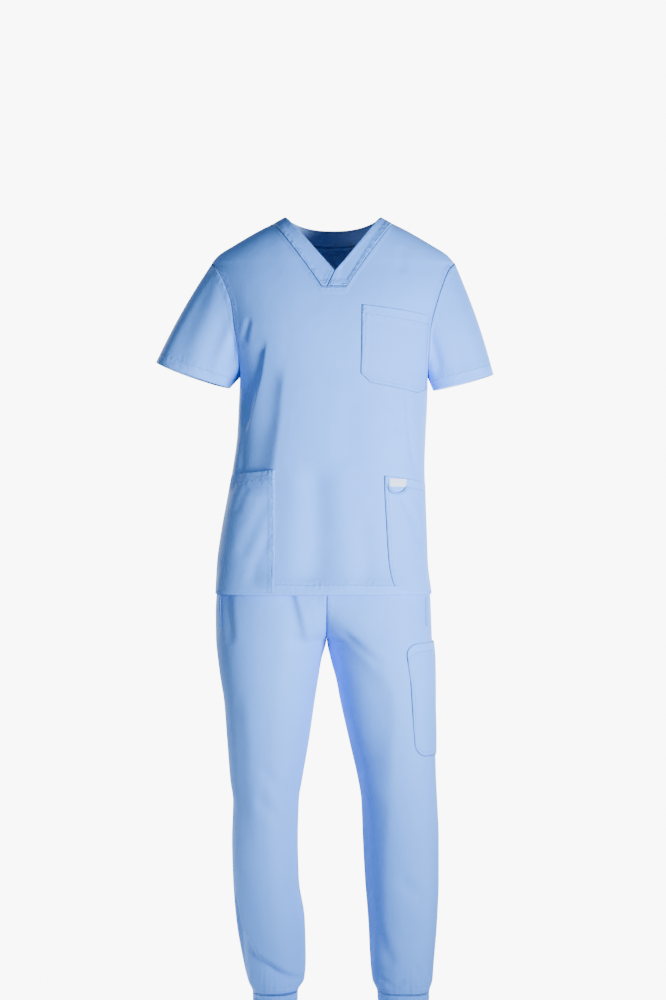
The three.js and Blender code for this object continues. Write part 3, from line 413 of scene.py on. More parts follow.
def waist_section(u, z):
    """Both legs' sections joined into one ring round the waist."""
    right, left = leg_section("right"), leg_section("left")
    turn = (2 * u) % 1
    return np.where((u < 0.5)[..., None], right((turn + 0.5) % 1, z), left((1.5 - turn) % 1, z))


# Sleeves

def sleeve_cloth(side, inner, outer, depth, droop):
    def surface(u, v):
        around = u % 1
        face = np.where(around <= 0.5, FRONT, BACK)
        climb = 1 - np.abs(2 * around - 1)
        z = mix(UNDERARM_Z, SHOULDER_Z, np.sin(climb * math.pi / 2))
        x = TORSO.read("right" if side < 0 else "left", z)
        start = np.stack([x, face * TORSO.read("armhole", z), z], axis=-1)
        turn = climb * math.pi
        reach = (1 - np.cos(turn)) / 2
        end = np.stack([mix(inner[0], outer[0], reach), face * depth * np.sin(turn),
                        mix(inner[1], outer[1], reach) - droop * np.sin(turn)], axis=-1)
        puff = SLEEVE_PUFF * np.sin(np.clip(v, 0, 1) * math.pi)
        out = np.stack([side * reach, face * np.sin(turn), np.zeros_like(turn)], axis=-1)
        return mix(start, end, v[..., None]) + out * puff[..., None]
    return surface


# Meshes

FAR = 999


class Grid:
    """Points of a cloth surface on a grid, and how far they lie from its edges.
    inside is a point on the wearer's side of the cloth."""

    def __init__(self, surface, columns, rows, inside):
        self.columns, self.rows = columns, rows
        side_u, side_v = np.linspace(0, 1, columns + 1), np.linspace(0, 1, rows + 1)
        u, v = np.meshgrid(side_u, side_v, indexing="ij")
        self.points = surface(u, v)
        across = np.linalg.norm(np.diff(self.points, axis=0), axis=-1)
        up = np.linalg.norm(np.diff(self.points, axis=1), axis=-1)
        start = np.concatenate([np.zeros((1, rows + 1)), np.cumsum(across, axis=0)])
        foot = np.concatenate([np.zeros((columns + 1, 1)), np.cumsum(up, axis=1)], axis=1)
        self.far = dict(start=start, end=start[-1:] - start, foot=foot, top=foot[:, -1:] - foot)
        normal = unit(np.cross(np.gradient(self.points, axis=0), np.gradient(self.points, axis=1)))
        self.flipped = ((self.points - np.array(inside, float)) * normal).sum() < 0
        self.normals = -normal if self.flipped else normal

    def nearest(self, *edges):
        return np.minimum.reduce([self.far[edge] for edge in edges])


def link_piece(name, bm, *materials):
    """Makes an object of the scene from a bmesh."""
    mesh = bpy.data.meshes.new(name)
    bm.to_mesh(mesh)
    bm.free()
    for material in materials:
        mesh.materials.append(material)
    piece = bpy.data.objects.new(name, mesh)
    bpy.context.scene.collection.objects.link(piece)
    return piece


def cloth_piece(name, grid, material, wall, plain=None, double=None, hem=None, closed=False):
    """A thin shell over a grid. plain, double and hem are distances in
    millimetres from plain seams, double-stitched edges and folded hems."""
    bm = bmesh.new()
    cut_map = bm.loops.layers.uv.new("cut")
    fields = {"plain_mm": plain, "double_mm": double, "hem_mm": hem}
    layers = {key: bm.verts.layers.float.new(key) for key in fields}
    bmesh.ops.create_grid(bm, x_segments=grid.columns, y_segments=grid.rows, size=0.5)
    width = float(grid.far["start"][-1].mean()) * MM
    length = float(grid.far["foot"][:, -1].mean()) * MM
    shares = {}
    for vert in bm.verts:
        i = round((vert.co.x + 0.5) * grid.columns)
        j = round((vert.co.y + 0.5) * grid.rows)
        vert.co = Vector(grid.points[i, j] * MM)
        shares[vert] = (i / grid.columns * width, j / grid.rows * length)
        for key, field in fields.items():
            vert[layers[key]] = FAR if field is None else min(float(field[i, j]), FAR)
    for face in bm.faces:
        face.smooth = True
        for loop in face.loops:
            loop[cut_map].uv = shares[loop.vert]
    if grid.flipped:
        bmesh.ops.reverse_faces(bm, faces=bm.faces)
    if closed:
        bmesh.ops.remove_doubles(bm, verts=bm.verts, dist=1e-6)
    # The inner faces of the scrub cloth take a copy painted lighter, to lift the shade inside the
    # garment
    faces_of_wall = (material, scrub_cloth_inside_painted_lighter) if material is scrub_cloth else (material,)
    piece = link_piece(name, bm, *faces_of_wall)
    shell = piece.modifiers.new("wall", "SOLIDIFY")
    shell.thickness = wall * MM
    shell.offset = -1
    shell.material_offset = len(faces_of_wall) - 1
    return piece


def dress(piece, node):
    """Puts a cloth piece in the place of its solid, and hides that solid."""
    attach(piece, "root")
    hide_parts(node)


# Stitches

STITCH_LENGTH = 2.6
STITCH_PITCH = 3.4
STITCH_WIDTH = 0.7
STITCH_RISE = 0.28
stitches = {"top": [], "trouser": []}

# How far rows of stitching lie from an edge
DOUBLE_ROWS = (2.2, 7.5)
HEM_ROW = 19.5
POCKET_HEM_ROW = 16


def inset_line(grid, edge, distance, low, high):
    """Points and normals on a grid at a distance from one edge, between two
    shares of its length."""
    field, points, normals = grid.far[edge], grid.points, grid.normals
    if edge in ("foot", "top"):
        field, points, normals = field.T, points.swapaxes(0, 1), normals.swapaxes(0, 1)
    if edge in ("end", "top"):
        field, points, normals = field[::-1], points[::-1], normals[::-1]
    count = field.shape[1]
    line = []
    for k in range(int(low * (count - 1)), int(high * (count - 1)) + 1):
        column = field[:, k]
        at = int(np.searchsorted(column, distance))
        if at == 0 or at >= len(column):
            continue
        share = (distance - column[at - 1]) / (column[at] - column[at - 1])
        line.append((mix(points[at - 1, k], points[at, k], share),
                     mix(normals[at - 1, k], normals[at, k], share)))
    return line


def sew(garment, grid, edge, distance, low=0.0, high=1.0):
    """Lays a row of single stitches at a distance from one edge of a piece."""
    line = inset_line(grid, edge, distance, low, high)
    points, normals = (np.array(values) for values in zip(*line))
    steps = np.linalg.norm(np.diff(points, axis=0), axis=1)
    along = np.concatenate([[0], np.cumsum(steps)])
    count = int(along[-1] / STITCH_PITCH)
    starts = np.arange(count) * STITCH_PITCH + (along[-1] - count * STITCH_PITCH) / 2
    for begin in starts:
        needle_down, needle_up, normal = (
            np.array([np.interp(place, along, values[:, axis]) for axis in range(3)])
            for place, values in ((begin, points), (begin + STITCH_LENGTH, points), (begin, normals)))
        stitches[garment].append((needle_down, needle_up, unit(normal)))


def sew_double(garment, grid, edge, low, high):
    for distance in DOUBLE_ROWS:
        sew(garment, grid, edge, distance, low, high)


def stitch_mesh(garment):
    """All stitches of a garment as one mesh of small beads of thread."""
    bm = bmesh.new()
    for begin, end, normal in stitches[garment]:
        across = np.cross(unit(end - begin), normal) * STITCH_WIDTH / 2
        middle = (begin + end) / 2
        ring = [middle + across, middle + normal * STITCH_RISE,
                middle - across, middle - normal * STITCH_RISE]
        tips = [bm.verts.new(Vector(point * MM)) for point in (begin, end)]
        around = [bm.verts.new(Vector(point * MM)) for point in ring]
        for k in range(4):
            after = (k + 1) % 4
            bm.faces.new((tips[0], around[k], around[after])).smooth = True
            bm.faces.new((tips[1], around[after], around[k])).smooth = True
    bmesh.ops.recalc_face_normals(bm, faces=bm.faces)
    piece = link_piece(garment + "_stitching", bm, thread)
    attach(piece, "root")


# Materials

# Tone, puckers and height by the distance in millimetres from a plain seam, from
# an edge with two rows of stitching, and from a folded hem. The tone is painted
# shade in the seam lines, stitch rows and at the edges, and painted highlight on
# the strips between stitch rows and over folded hem bands
SEAM_PROFILES = {
    "plain_mm": dict(
        reach=16,
        tone=[(0, 0.72), (0.9, 0.95), (2.0, 1)],
        pucker=[(0, 0), (3, 1), (9, 0.7), (16, 0)],
        height=[(0, 0.1), (1.2, 0.45), (3, 0.5), (9, 0.45), (12, 0.4)]),
    "double_mm": dict(
        reach=16,
        tone=[(0, 0.8), (0.8, 1), (1.5, 1.05), (2.2, 0.84), (3, 1), (6.6, 1.03), (7.5, 0.8),
              (8.4, 1)],
        pucker=[(0, 0), (3, 1), (9, 0.7), (16, 0)],
        height=[(0, 0.2), (1, 0.55), (2.2, 0.25), (3.4, 0.55), (6.2, 0.55), (7.5, 0.2),
                (8.8, 0.4), (12, 0.4)]),
    "hem_mm": dict(
        reach=40,
        tone=[(0, 0.85), (1.2, 1.06), (17.6, 1.06), (19.5, 0.8), (21, 1)],
        pucker=[(0, 0.5), (12, 0.5), (19, 1), (26, 0.6), (34, 0)],
        height=[(0, 0.55), (18, 0.55), (19.5, 0.15), (21.5, 0.38), (26, 0.4)]),
}
CLOTH_FINISH = {
    "Roughness": 0.7, "Sheen Weight": 0.06, "Sheen Roughness": 0.45, "Specular IOR Level": 0.25}
WEAVE_SCALE = 320.0
CLOTH_LIGHT, CLOTH_SHADE = (0.13, 0.36, 1.0), (0.115, 0.335, 0.97)
# The inner faces' cloth: painted lighter and greyer than the outer face, to lift the dark, saturated
# shade inside the garment
INSIDE_LIGHT_PAINTED_LIGHTER, INSIDE_SHADE_PAINTED_LIGHTER = (0.3, 0.48, 0.92), (0.27, 0.45, 0.89)
THREAD_COLOUR = (0.2, 0.4, 0.95)
LABEL_COLOUR = (0.62, 0.69, 0.90)
FLOOR_COLOUR = (0.85, 0.86, 0.88)


def add_node(tree, kind, place, **values):
    node = tree.nodes.new(kind)
    node.location = place
    for key, value in values.items():
        if key in node.inputs:
            node.inputs[key].default_value = value
        else:
            setattr(node, key, value)
    return node


def new_material(name, finish):
    """A material with its shader's even values set, and that shader."""
    material = bpy.data.materials.new(name)
    material.use_nodes = True
    shader = material.node_tree.nodes["Principled BSDF"]
    shader.location = (1300, 0)
    for socket, value in finish.items():
        shader.inputs[socket].default_value = value
    return material, shader


def noise(tree, scale, detail, place, roughness=0.5):
    where = add_node(tree, "ShaderNodeTexCoord", (place[0] - 200, place[1]))
    node = add_node(tree, "ShaderNodeTexNoise", place, Scale=scale, Detail=detail, Roughness=roughness)
    tree.links.new(where.outputs["Object"], node.inputs["Vector"])
    return node.outputs["Fac"]


def ramp(tree, value, stops, place):
    """Colours by a value, through stops of (position, colour)."""
    node = add_node(tree, "ShaderNodeValToRGB", place)
    elements = node.color_ramp.elements
    elements.remove(elements[-1])
    for k, (position, colour) in enumerate(stops):
        element = elements[0] if k == 0 else elements.new(position)
        element.position = position
        element.color = (*colour, 1)
    tree.links.new(value, node.inputs["Fac"])
    return node.outputs["Color"]


def joined(tree, operation, values, place):
    """Several values added up or multiplied."""
    total = values[0]
    for k, value in enumerate(values[1:]):
        node = add_node(tree, "ShaderNodeMath", (place[0] + 200 * k, place[1]), operation=operation)
        tree.links.new(total, node.inputs[0])
        tree.links.new(value, node.inputs[1])
        total = node.outputs[0]
    return total


def seam_profile(tree, kind, operation, row):
    """One profile of the three kinds of sewn edge, joined."""
    parts = []
    for k, (attribute, profile) in enumerate(SEAM_PROFILES.items()):
        y = row - 250 * k
        source = add_node(tree, "ShaderNodeAttribute", (-900, y), attribute_name=attribute)
        scaled = add_node(tree, "ShaderNodeMapRange", (-700, y))
        scaled.inputs["From Max"].default_value = profile["reach"]
        tree.links.new(source.outputs["Fac"], scaled.inputs["Value"])
        stops = [(distance / profile["reach"], (value,) * 3) for distance, value in profile[kind]]
        parts.append(ramp(tree, scaled.outputs["Result"], stops, (-500, y)))
    return joined(tree, operation, parts, (-200, row))


def bump(tree, height, strength, distance, place, under=None):
    node = add_node(tree, "ShaderNodeBump", place, Strength=strength, Distance=distance)
    tree.links.new(height, node.inputs["Height"])
    if under is not None:
        tree.links.new(under, node.inputs["Normal"])
    return node.outputs["Normal"]


def woven_cloth(name, light, shade):
    """Fine plain-woven cloth: dye, crumple, puckers, seams, hems and weave, with painted shade and
    highlight along the seams and hems.
    """
    material, shader = new_material(name, CLOTH_FINISH)
    tree = material.node_tree

    # A slow drift of the dye, times the seams' tone: painted shade in the seam lines,
    # stitch rows and at the edges, and painted highlight on the strips between them
    dye = ramp(tree, noise(tree, 7.0, 4.0, (-900, 300)), ((0.3, shade), (0.7, light)), (-650, 300))
    tint = add_node(tree, "ShaderNodeMix", (200, 300), data_type="RGBA", blend_type="MULTIPLY")
    tint.inputs[0].default_value = 1
    tree.links.new(dye, tint.inputs[6])
    tree.links.new(seam_profile(tree, "tone", "MULTIPLY", -500), tint.inputs[7])
    tree.links.new(tint.outputs[2], shader.inputs["Base Color"])

    crumple = noise(tree, 26.0, 5.0, (-900, 50), 0.45)
    near_seams = seam_profile(tree, "pucker", "ADD", -1250)
    puckers = joined(tree, "MULTIPLY", [noise(tree, 130.0, 2.0, (-900, -200)), near_seams], (200, -1250))
    grooves = seam_profile(tree, "height", "ADD", -2000)

    # Warp and weft threads
    cut = add_node(tree, "ShaderNodeUVMap", (-1300, -2800), uv_map="cut")
    threads = []
    for k, direction in enumerate(("X", "Y")):
        wave = add_node(tree, "ShaderNodeTexWave", (-900, -2800 - 300 * k), Scale=WEAVE_SCALE,
                        wave_type="BANDS", bands_direction=direction)
        tree.links.new(cut.outputs["UV"], wave.inputs["Vector"])
        threads.append(wave.outputs["Fac"])
    weave = joined(tree, "MULTIPLY", threads, (-200, -2800))

    # From the widest relief to the finest: height, strength and distance
    relief = (
        (crumple, 0.45, 0.003),
        (puckers, 0.8, 0.003),
        (grooves, 0.8, 0.0014),
        (weave, 0.3, 0.0002),
    )
    normal = None
    for k, (height, strength, distance) in enumerate(relief):
        normal = bump(tree, height, strength, distance, (300 + 200 * k, -100 - 100 * k), normal)
    tree.links.new(normal, shader.inputs["Normal"])
    return material


def plain_material(name, colour, roughness, grain, height):
    """A small trim's material with a fine grain."""
    material, shader = new_material(name, {"Roughness": roughness})
    tree = material.node_tree
    grains = noise(tree, grain, 3.0, (-700, 0))
    dark = [value * 0.88 for value in colour]
    tone = ramp(tree, grains, ((0, dark), (1, colour)), (-450, 100))
    tree.links.new(tone, shader.inputs["Base Color"])
    tree.links.new(bump(tree, grains, 0.5, height, (-200, -200)), shader.inputs["Normal"])
    return material


scrub_cloth = woven_cloth("scrub_cloth", CLOTH_LIGHT, CLOTH_SHADE)
# The inner faces' cloth, painted lighter to lift the shade inside the garment
scrub_cloth_inside_painted_lighter = woven_cloth("scrub_cloth_inside_painted_lighter", INSIDE_LIGHT_PAINTED_LIGHTER, INSIDE_SHADE_PAINTED_LIGHTER)
thread = plain_material("thread", THREAD_COLOUR, 0.6, 900.0, 0.0002)
label_cloth = plain_material("label_cloth", LABEL_COLOUR, 0.8, 700.0, 0.0003)


# The pieces of the top

# Thickness of the walls, in millimetres
CLOTH_WALL = 1.1
BAND_WALL = 1.6
POCKET_WALL = 0.8
TAPE_WALL = 0.9
LABEL_WALL = 0.7

PANEL_ROWS = ROWS_BODY + ROWS_ARMHOLE


def torso_z(face, u, v):
    """Heights on a panel: level rows up to the underarm, then up to its top edge."""
    row = v * PANEL_ROWS
    climb = np.sin(np.clip((row - ROWS_BODY) / ROWS_ARMHOLE, 0, 1) * math.pi / 2)
    low = mix(TOP_HEM_Z, UNDERARM_Z, np.clip(row / ROWS_BODY, 0, 1))
    return np.where(row <= ROWS_BODY, low, mix(UNDERARM_Z, column_top(face, u * COLUMNS), climb))


def torso_panel(face):
    def surface(u, v):
        z = torso_z(face, u, v)
        point = on_torso(face, column_x(u * COLUMNS, z), z, 0)
        side = (u <= 0) | (u >= 1)
        open_vent = np.clip((TOP_HEM_Z + VENT_HEIGHT - z) / VENT_HEIGHT, 0, 1) * VENT_SPREAD
        point[..., 1] += face * np.where(side, open_vent, 0)
        return point
    return surface


def make_panels():
    underarm = ROWS_BODY / PANEL_ROWS
    corner = NECK_RIGHT / COLUMNS
    for node, face in (("top_front", FRONT), ("top_back", BACK)):
        grid = Grid(torso_panel(face), 5 * COLUMNS, 6 * PANEL_ROWS, (0, 0, -400))
        z = grid.points[..., 2]
        sides, top = grid.nearest("start", "end"), grid.far["top"]
        armhole = z > UNDERARM_Z + 4
        neck = np.abs(grid.points[..., 0]) < BAND_CORNER_X
        vents = np.where(z < TOP_HEM_Z + VENT_HEIGHT, sides + 8, FAR)
        piece = cloth_piece(node + "_cloth", grid, scrub_cloth, CLOTH_WALL,
                            np.minimum(np.where(armhole, FAR, sides), np.where(neck, FAR, top)),
                            np.minimum(np.where(armhole, sides, FAR), np.where(neck, top, FAR)),
                            np.minimum(grid.far["foot"], vents))
        dress(piece, node)
        for edge in ("start", "end"):
            sew("top", grid, edge, DOUBLE_ROWS[1], underarm + 0.01, 0.99)
        sew_double("top", grid, "top", corner, 1 - corner)
        sew("top", grid, "foot", HEM_ROW, 0.01, 0.99)


# Folds of a sleeve: places round the arm at the start and end, places from
# armhole to hem, half width as a share of the way round, and depth
SLEEVE_FOLDS = {
    "right": [
        (0.37, 0.33, 0.12, 0.95, 0.045, 2.2),
        (0.22, 0.19, 0.2, 1.0, 0.04, 1.8),
        (0.10, 0.12, 0.0, 0.8, 0.03, 3.5),
        (0.62, 0.66, 0.1, 0.9, 0.035, 4.0),
        (0.80, 0.78, 0.1, 0.95, 0.035, 3.5),
    ],
    "left": [
        (0.30, 0.26, 0.15, 0.95, 0.04, 1.6),
        (0.12, 0.13, 0.0, 0.7, 0.03, 3.0),
        (0.64, 0.68, 0.1, 0.9, 0.035, 4.0),
        (0.84, 0.80, 0.1, 0.95, 0.035, 3.5),
    ],
}


def sleeve_folds(u, v, lines):
    """Depth of a sleeve's folds, each with a low ridge on either side."""
    depth = np.zeros_like(u)
    for start_u, end_u, start_v, end_v, width, deep in lines:
        share = np.clip((v - start_v) / (end_v - start_v), 0, 1)
        away = (u - mix(start_u, end_u, share)) / width
        ends = smoothstep(start_v - 0.12, start_v + 0.12, v) * smoothstep(0, 0.25, end_v + 0.12 - v)
        depth += deep * ends * (bell(away) - 0.4 * bell(away, 1.8, 0.9) - 0.3 * bell(away, -1.8, 0.9))
    return depth


def folded_sleeve(side):
    base = sleeve_cloth(**SLEEVES[side])
    step = 0.004

    def surface(u, v):
        across = base(u + step, v) - base(u - step, v)
        along = base(u, v + step) - base(u, v - step)
        normal = unit(np.cross(across, along) * -SLEEVES[side]["side"])
        depth = sleeve_folds(u % 1, v, SLEEVE_FOLDS[side]) * smoothstep(0, 0.1, v)
        return moved_out(base(u, v), normal, -depth)
    return surface


def make_sleeves():
    for side, shape in SLEEVES.items():
        inside = ((shape["inner"][0] + shape["outer"][0]) / 2, 0, -220)
        grid = Grid(folded_sleeve(side), 110, 48, inside)
        piece = cloth_piece(f"sleeve_{side}_cloth", grid, scrub_cloth, CLOTH_WALL,
                            plain=grid.far["foot"], hem=grid.far["top"], closed=True)
        dress(piece, f"sleeve_{side}")
        sew("top", grid, "top", HEM_ROW)


# The neckband: a doubled strip between the band seam and the neck edge

BAND_LIFT = 0.5
BAND_LAP = 1.6
BAND_ROW = 3.0
BAND_INSIDE = (0, 0, -60)
# Half the gap in the shoulder seam, and the share of a band that bends into it
SEAM_GAP = 0.15
SEAM_BEND = 0.008


def band_surface(face, first, last, neck_edge, lap=0.0):
    """A band from column first to last. neck_edge gives its upper edge, lap lifts
    its last end, and its ends on the shoulder seam bend into the seam."""
    def surface(u, v):
        column = mix(float(first), float(last), u)
        z0 = column_top(face, column)
        x0 = column_x(column, z0)
        x1, z1 = neck_edge(u, x0)
        x, z = mix(x0, x1, v), mix(z0, z1, v)
        roll = 1.6 * smoothstep(0.86, 1, v) ** 2
        lift = BAND_LIFT * smoothstep(0, 0.12, v) - roll + lap * smoothstep(0.8, 0.9, u)
        away = smoothstep(0, SEAM_BEND, u)
        if face == BACK:
            away = away * smoothstep(0, SEAM_BEND, 1 - u)
        seam = np.stack([x, np.full_like(x, face * SEAM_GAP), RIDGE.read("height", np.abs(x))], axis=-1)
        return mix(seam, on_torso(face, x, z, lift), away[..., None])
    return surface


def make_neckband():
    point = FOOT_RIGHT + 1
    for side, first, sign, lap in (("right", NECK_RIGHT, -1, 0.0), ("left", NECK_LEFT, 1, BAND_LAP)):
        def front_edge(u, _, sign=sign):
            return mix(sign * NECK_HALF, NECK_APEX_X, u), mix(0.0, NECK_APEX_Z, u)
        grid = Grid(band_surface(FRONT, first, point, front_edge, lap), 110, 18, BAND_INSIDE)
        double = np.minimum(grid.nearest("foot", "top") + 1.5, grid.far["end"])
        piece = cloth_piece(f"neckband_{side}_cloth", grid, scrub_cloth, BAND_WALL,
                            grid.far["foot"], double)
        dress(piece, f"neckband_{side}_front")
        sew("top", grid, "top", BAND_ROW, 0.03, 0.97)

    def back_edge(_, x0):
        share = x0 / BAND_CORNER_X
        return share * NECK_HALF, -NECK_BACK_DIP * (1 - np.abs(share) ** 2.5)
    grid = Grid(band_surface(BACK, NECK_RIGHT, NECK_LEFT, back_edge), 120, 18, BAND_INSIDE)
    piece = cloth_piece("neckband_back_cloth", grid, scrub_cloth, BAND_WALL, grid.far["foot"],
                        grid.far["top"] + 1.5)
    dress(piece, "neckband_back")
    sew("top", grid, "top", BAND_ROW, 0.03, 0.97)


# Patches on the torso

def by_share(points):
    shares, heights = zip(*points)
    return lambda u: np.interp(u, shares, heights)


# First and last column, heights of the top and foot by share of the width, how
# far the middle, the mouth and a lower corner stand off, the edges sewn on, and
# those with stitching in sight with the share that it leaves free at the ends
POCKETS = {
    "chest_pocket": dict(
        first=CHEST_EDGE, last=COLUMNS - 2,
        top=by_share([(0, -173), (1, -192)]),
        foot=by_share([(0, -299), (0.06, -307), (0.14, -317), (0.8, -334), (1, -326)]),
        puff=2.2, mouth=1.6, gape=0.0,
        edges=("start", "end", "foot"), stitched=(("start", 0.01), ("foot", 0.03))),
    "lower_pocket_right": dict(
        first=1, last=NECK_RIGHT,
        top=by_share([(0, -488), (0.5, -480), (1, -476)]),
        foot=by_share([(0, -703), (1, -703)]),
        puff=4.0, mouth=3.5, gape=5.0,
        edges=("start", "end"), stitched=(("end", 0.01),)),
    "lower_pocket_left": dict(
        first=NECK_LEFT, last=COLUMNS - 1,
        top=by_share([(0, -487), (1, -502)]),
        foot=by_share([(0, -690), (0.12, -697), (0.3, -703), (1, -703)]),
        puff=3.0, mouth=2.5, gape=0.0,
        edges=("start", "end"), stitched=(("start", 0.01),)),
}
PATCH_LIFT = 1.0


def pocket_surface(spec, extra=0.0):
    def surface(u, v):
        column = mix(float(spec["first"]), float(spec["last"]), u)
        z = mix(spec["foot"](u), spec["top"](u), v)
        across = np.sin(np.clip(u, 0, 1) * math.pi)
        puff = spec["puff"] * across ** 0.7 * np.sin(np.clip(v, 0, 1) * math.pi * 0.9) ** 0.7
        mouth = spec["mouth"] * smoothstep(0.8, 1, v) * across ** 0.6
        gape = spec["gape"] * smoothstep(0.75, 1, u) * smoothstep(0, 0.06, v) * smoothstep(0.3, 0.1, v)
        return on_torso(FRONT, column_x(column, z), z, PATCH_LIFT + puff + mouth + gape + extra)
    return surface


def make_pockets():
    for node, spec in POCKETS.items():
        grid = Grid(pocket_surface(spec), 60, 90, (0, 0, -400))
        piece = cloth_piece(node + "_cloth", grid, scrub_cloth, POCKET_WALL,
                            double=grid.nearest(*spec["edges"]), hem=grid.far["top"] + 3.5)
        dress(piece, node)
        for edge, free in spec["stitched"]:
            sew_double("top", grid, edge, free, 1 - free)
        sew("top", grid, "top", POCKET_HEM_ROW, 0.03, 0.97)


# Label and badge loop on the wearer's left pocket

LABEL_X, LABEL_Z, LABEL_WIDTH, LABEL_HEIGHT = 117, -500, 30, 15
LABEL_LIFT = 1.7
LABEL_SLANT = 1.2
LOOP_OUTER, LOOP_TAPE = 17.5, 4.4
LOOP_LIFT = 1.6
LOOP_BOW = 3.0


def on_left_pocket(x, z, lift):
    """Points on the pocket at given x and z, with the column found by halving."""
    spec = POCKETS["lower_pocket_left"]
    low, high = np.full_like(x, float(spec["first"])), np.full_like(x, float(spec["last"]))
    for _ in range(24):
        column = (low + high) / 2
        beyond = column_x(column, z) > x
        high = np.where(beyond, column, high)
        low = np.where(beyond, low, column)
    u = (column - spec["first"]) / (spec["last"] - spec["first"])
    v = (z - spec["foot"](u)) / (spec["top"](u) - spec["foot"](u))
    return pocket_surface(spec, lift)(u, v)


def make_label():
    def surface(u, v):
        x = LABEL_X + LABEL_WIDTH * (u - 0.5)
        z = LABEL_Z + LABEL_HEIGHT * (v - 0.5) - LABEL_SLANT * (u - 0.5)
        sewn_end = np.minimum(u, 1 - u) < 0.03
        return on_left_pocket(x, z, LABEL_LIFT - 0.5 * sewn_end)
    grid = Grid(surface, 40, 20, (0, 0, -500))
    piece = cloth_piece("pocket_label_cloth", grid, label_cloth, LABEL_WALL)
    dress(piece, "pocket_label")
    for edge in ("start", "end"):
        sew("top", grid, edge, 1.6, 0.06, 0.94)


def make_badge_loop():
    def surface(u, v):
        turn = u * math.pi
        radius = LOOP_OUTER - LOOP_TAPE * v
        x = LABEL_X - np.cos(turn) * radius
        z = LABEL_Z - LABEL_HEIGHT / 2 + 1.5 - np.sin(turn) * radius * 0.95
        return on_left_pocket(x, z, LOOP_LIFT + LOOP_BOW * np.sin(turn))
    grid = Grid(surface, 48, 6, (0, 0, -500))
    # The tape's edges are passed as plain-seam distances, so the seam tone paints shade along both of
    # them
    piece = cloth_piece("badge_loop_tape", grid, scrub_cloth, TAPE_WALL,
                        grid.nearest("foot", "top") * 0.4)
    dress(piece, "badge_loop")


# The pieces of the trousers

GATHER_DEPTH = 0.8
LEG_MIDDLES = {"right": -110, "left": 110}
CUFF_MIDDLES = {"right": -108, "left": 133}
LEG_FOOT_ROW = 3.2
INSEAM_ROW = 5.5


def leg_relief(face, u, point):
    """Depth of the folds and of the gathers above the cuff, none at the seams."""
    x, z = point[..., 0], point[..., 2]
    above = z - CUFF_TOP_Z
    gather = np.exp(-above / 24) * (1 - np.exp(-above / 6))
    waves = np.sin(x * 0.62 + 1.3) + 0.7 * np.sin(x * 0.37 + 0.4 * face)
    fade = smoothstep(0, 0.1, u) * smoothstep(0, 0.1, 1 - u)
    return fade * (fold_depth("leg", face, x, z) + GATHER_DEPTH * gather * waves)


def on_leg(side, face, u, z, lift=0):
    """Points of a leg panel at a lift above the worn form, with the folds."""
    column = u * LEG_COLUMN_COUNT
    low, high = (np.clip(column + step, 0, LEG_COLUMN_COUNT) for step in (-0.05, 0.05))
    point = leg_point(side, face, column, z)
    across = leg_point(side, face, high, z) - leg_point(side, face, low, z)
    up = leg_point(side, face, column, z + 1) - leg_point(side, face, column, z - 1)
    turned = (side == "right") == (face == BACK)
    normal = unit(np.cross(up, across) if turned else np.cross(across, up))
    return moved_out(point, normal, lift - leg_relief(face, u, point))


def make_legs():
    crotch = (CROTCH_Z - CUFF_TOP_Z) / (WAIST_FOOT_Z - CUFF_TOP_Z)
    for side, middle in LEG_MIDDLES.items():
        for word, face in (("front", FRONT), ("back", BACK)):
            def surface(u, v, side=side, face=face):
                return on_leg(side, face, u, mix(float(CUFF_TOP_Z), float(WAIST_FOOT_Z), v))
            grid = Grid(surface, 64, 180, (middle, 0, -1000))
            end = grid.far["end"]
            below_crotch = grid.points[..., 2] < CROTCH_Z
            node = f"trouser_{word}_{side}"
            piece = cloth_piece(node + "_cloth", grid, scrub_cloth, CLOTH_WALL,
                                np.minimum(grid.far["start"], np.where(below_crotch, end, FAR)),
                                np.minimum(grid.far["foot"] + 1, np.where(below_crotch, FAR, end)))
            dress(piece, node)
            if side == "left":
                sew_double("trouser", grid, "end", crotch + 0.02, 0.98)
            sew("trouser", grid, "foot", LEG_FOOT_ROW, 0.02, 0.98)
            sew("trouser", grid, "end", INSEAM_ROW, 0.01, crotch - 0.02)


def ribbed(point, middle, ribs):
    """Moves points out by the height of ribs, away from the line x = middle, y = 0."""
    return moved_out(point, unit((point - (middle, 0, 0)) * (1, 1, 0)), ribs)


def make_bands():
    def waist(u, v):
        point = waist_section(u, mix(float(WAIST_FOOT_Z), float(WAIST_TOP_Z), v))
        return ribbed(point, 0, 0.8 * np.sin(u * 2 * math.pi * 96) * np.sin(v * math.pi) ** 0.5)
    grid = Grid(waist, 560, 12, (0, 0, -517))
    piece = cloth_piece("waistband_cloth", grid, scrub_cloth, BAND_WALL, grid.far["foot"], closed=True)
    dress(piece, "waistband")
    for side, middle in CUFF_MIDDLES.items():
        def cuff(u, v, section=leg_section(side), middle=middle):
            point = section(u, mix(float(CUFF_FOOT_Z), float(CUFF_TOP_Z), v))
            return ribbed(point, middle, 0.5 * np.sin(u * 2 * math.pi * 44) * smoothstep(0, 0.2, 1 - v))
        grid = Grid(cuff, 352, 20, (middle, 0, -1490))
        piece = cloth_piece(f"cuff_{side}_cloth", grid, scrub_cloth, BAND_WALL,
                            grid.far["top"], closed=True)
        dress(piece, f"cuff_{side}")


# The cargo pocket wraps the outer seam of the wearer's left leg

CARGO_TOP_Z, CARGO_FOOT_Z, CARGO_CORNER = -797, -1008, 24
CARGO_REACH = 5 / 11
CARGO_EDGES = ("start", "end", "foot")
CARGO_LIFT = 1.4


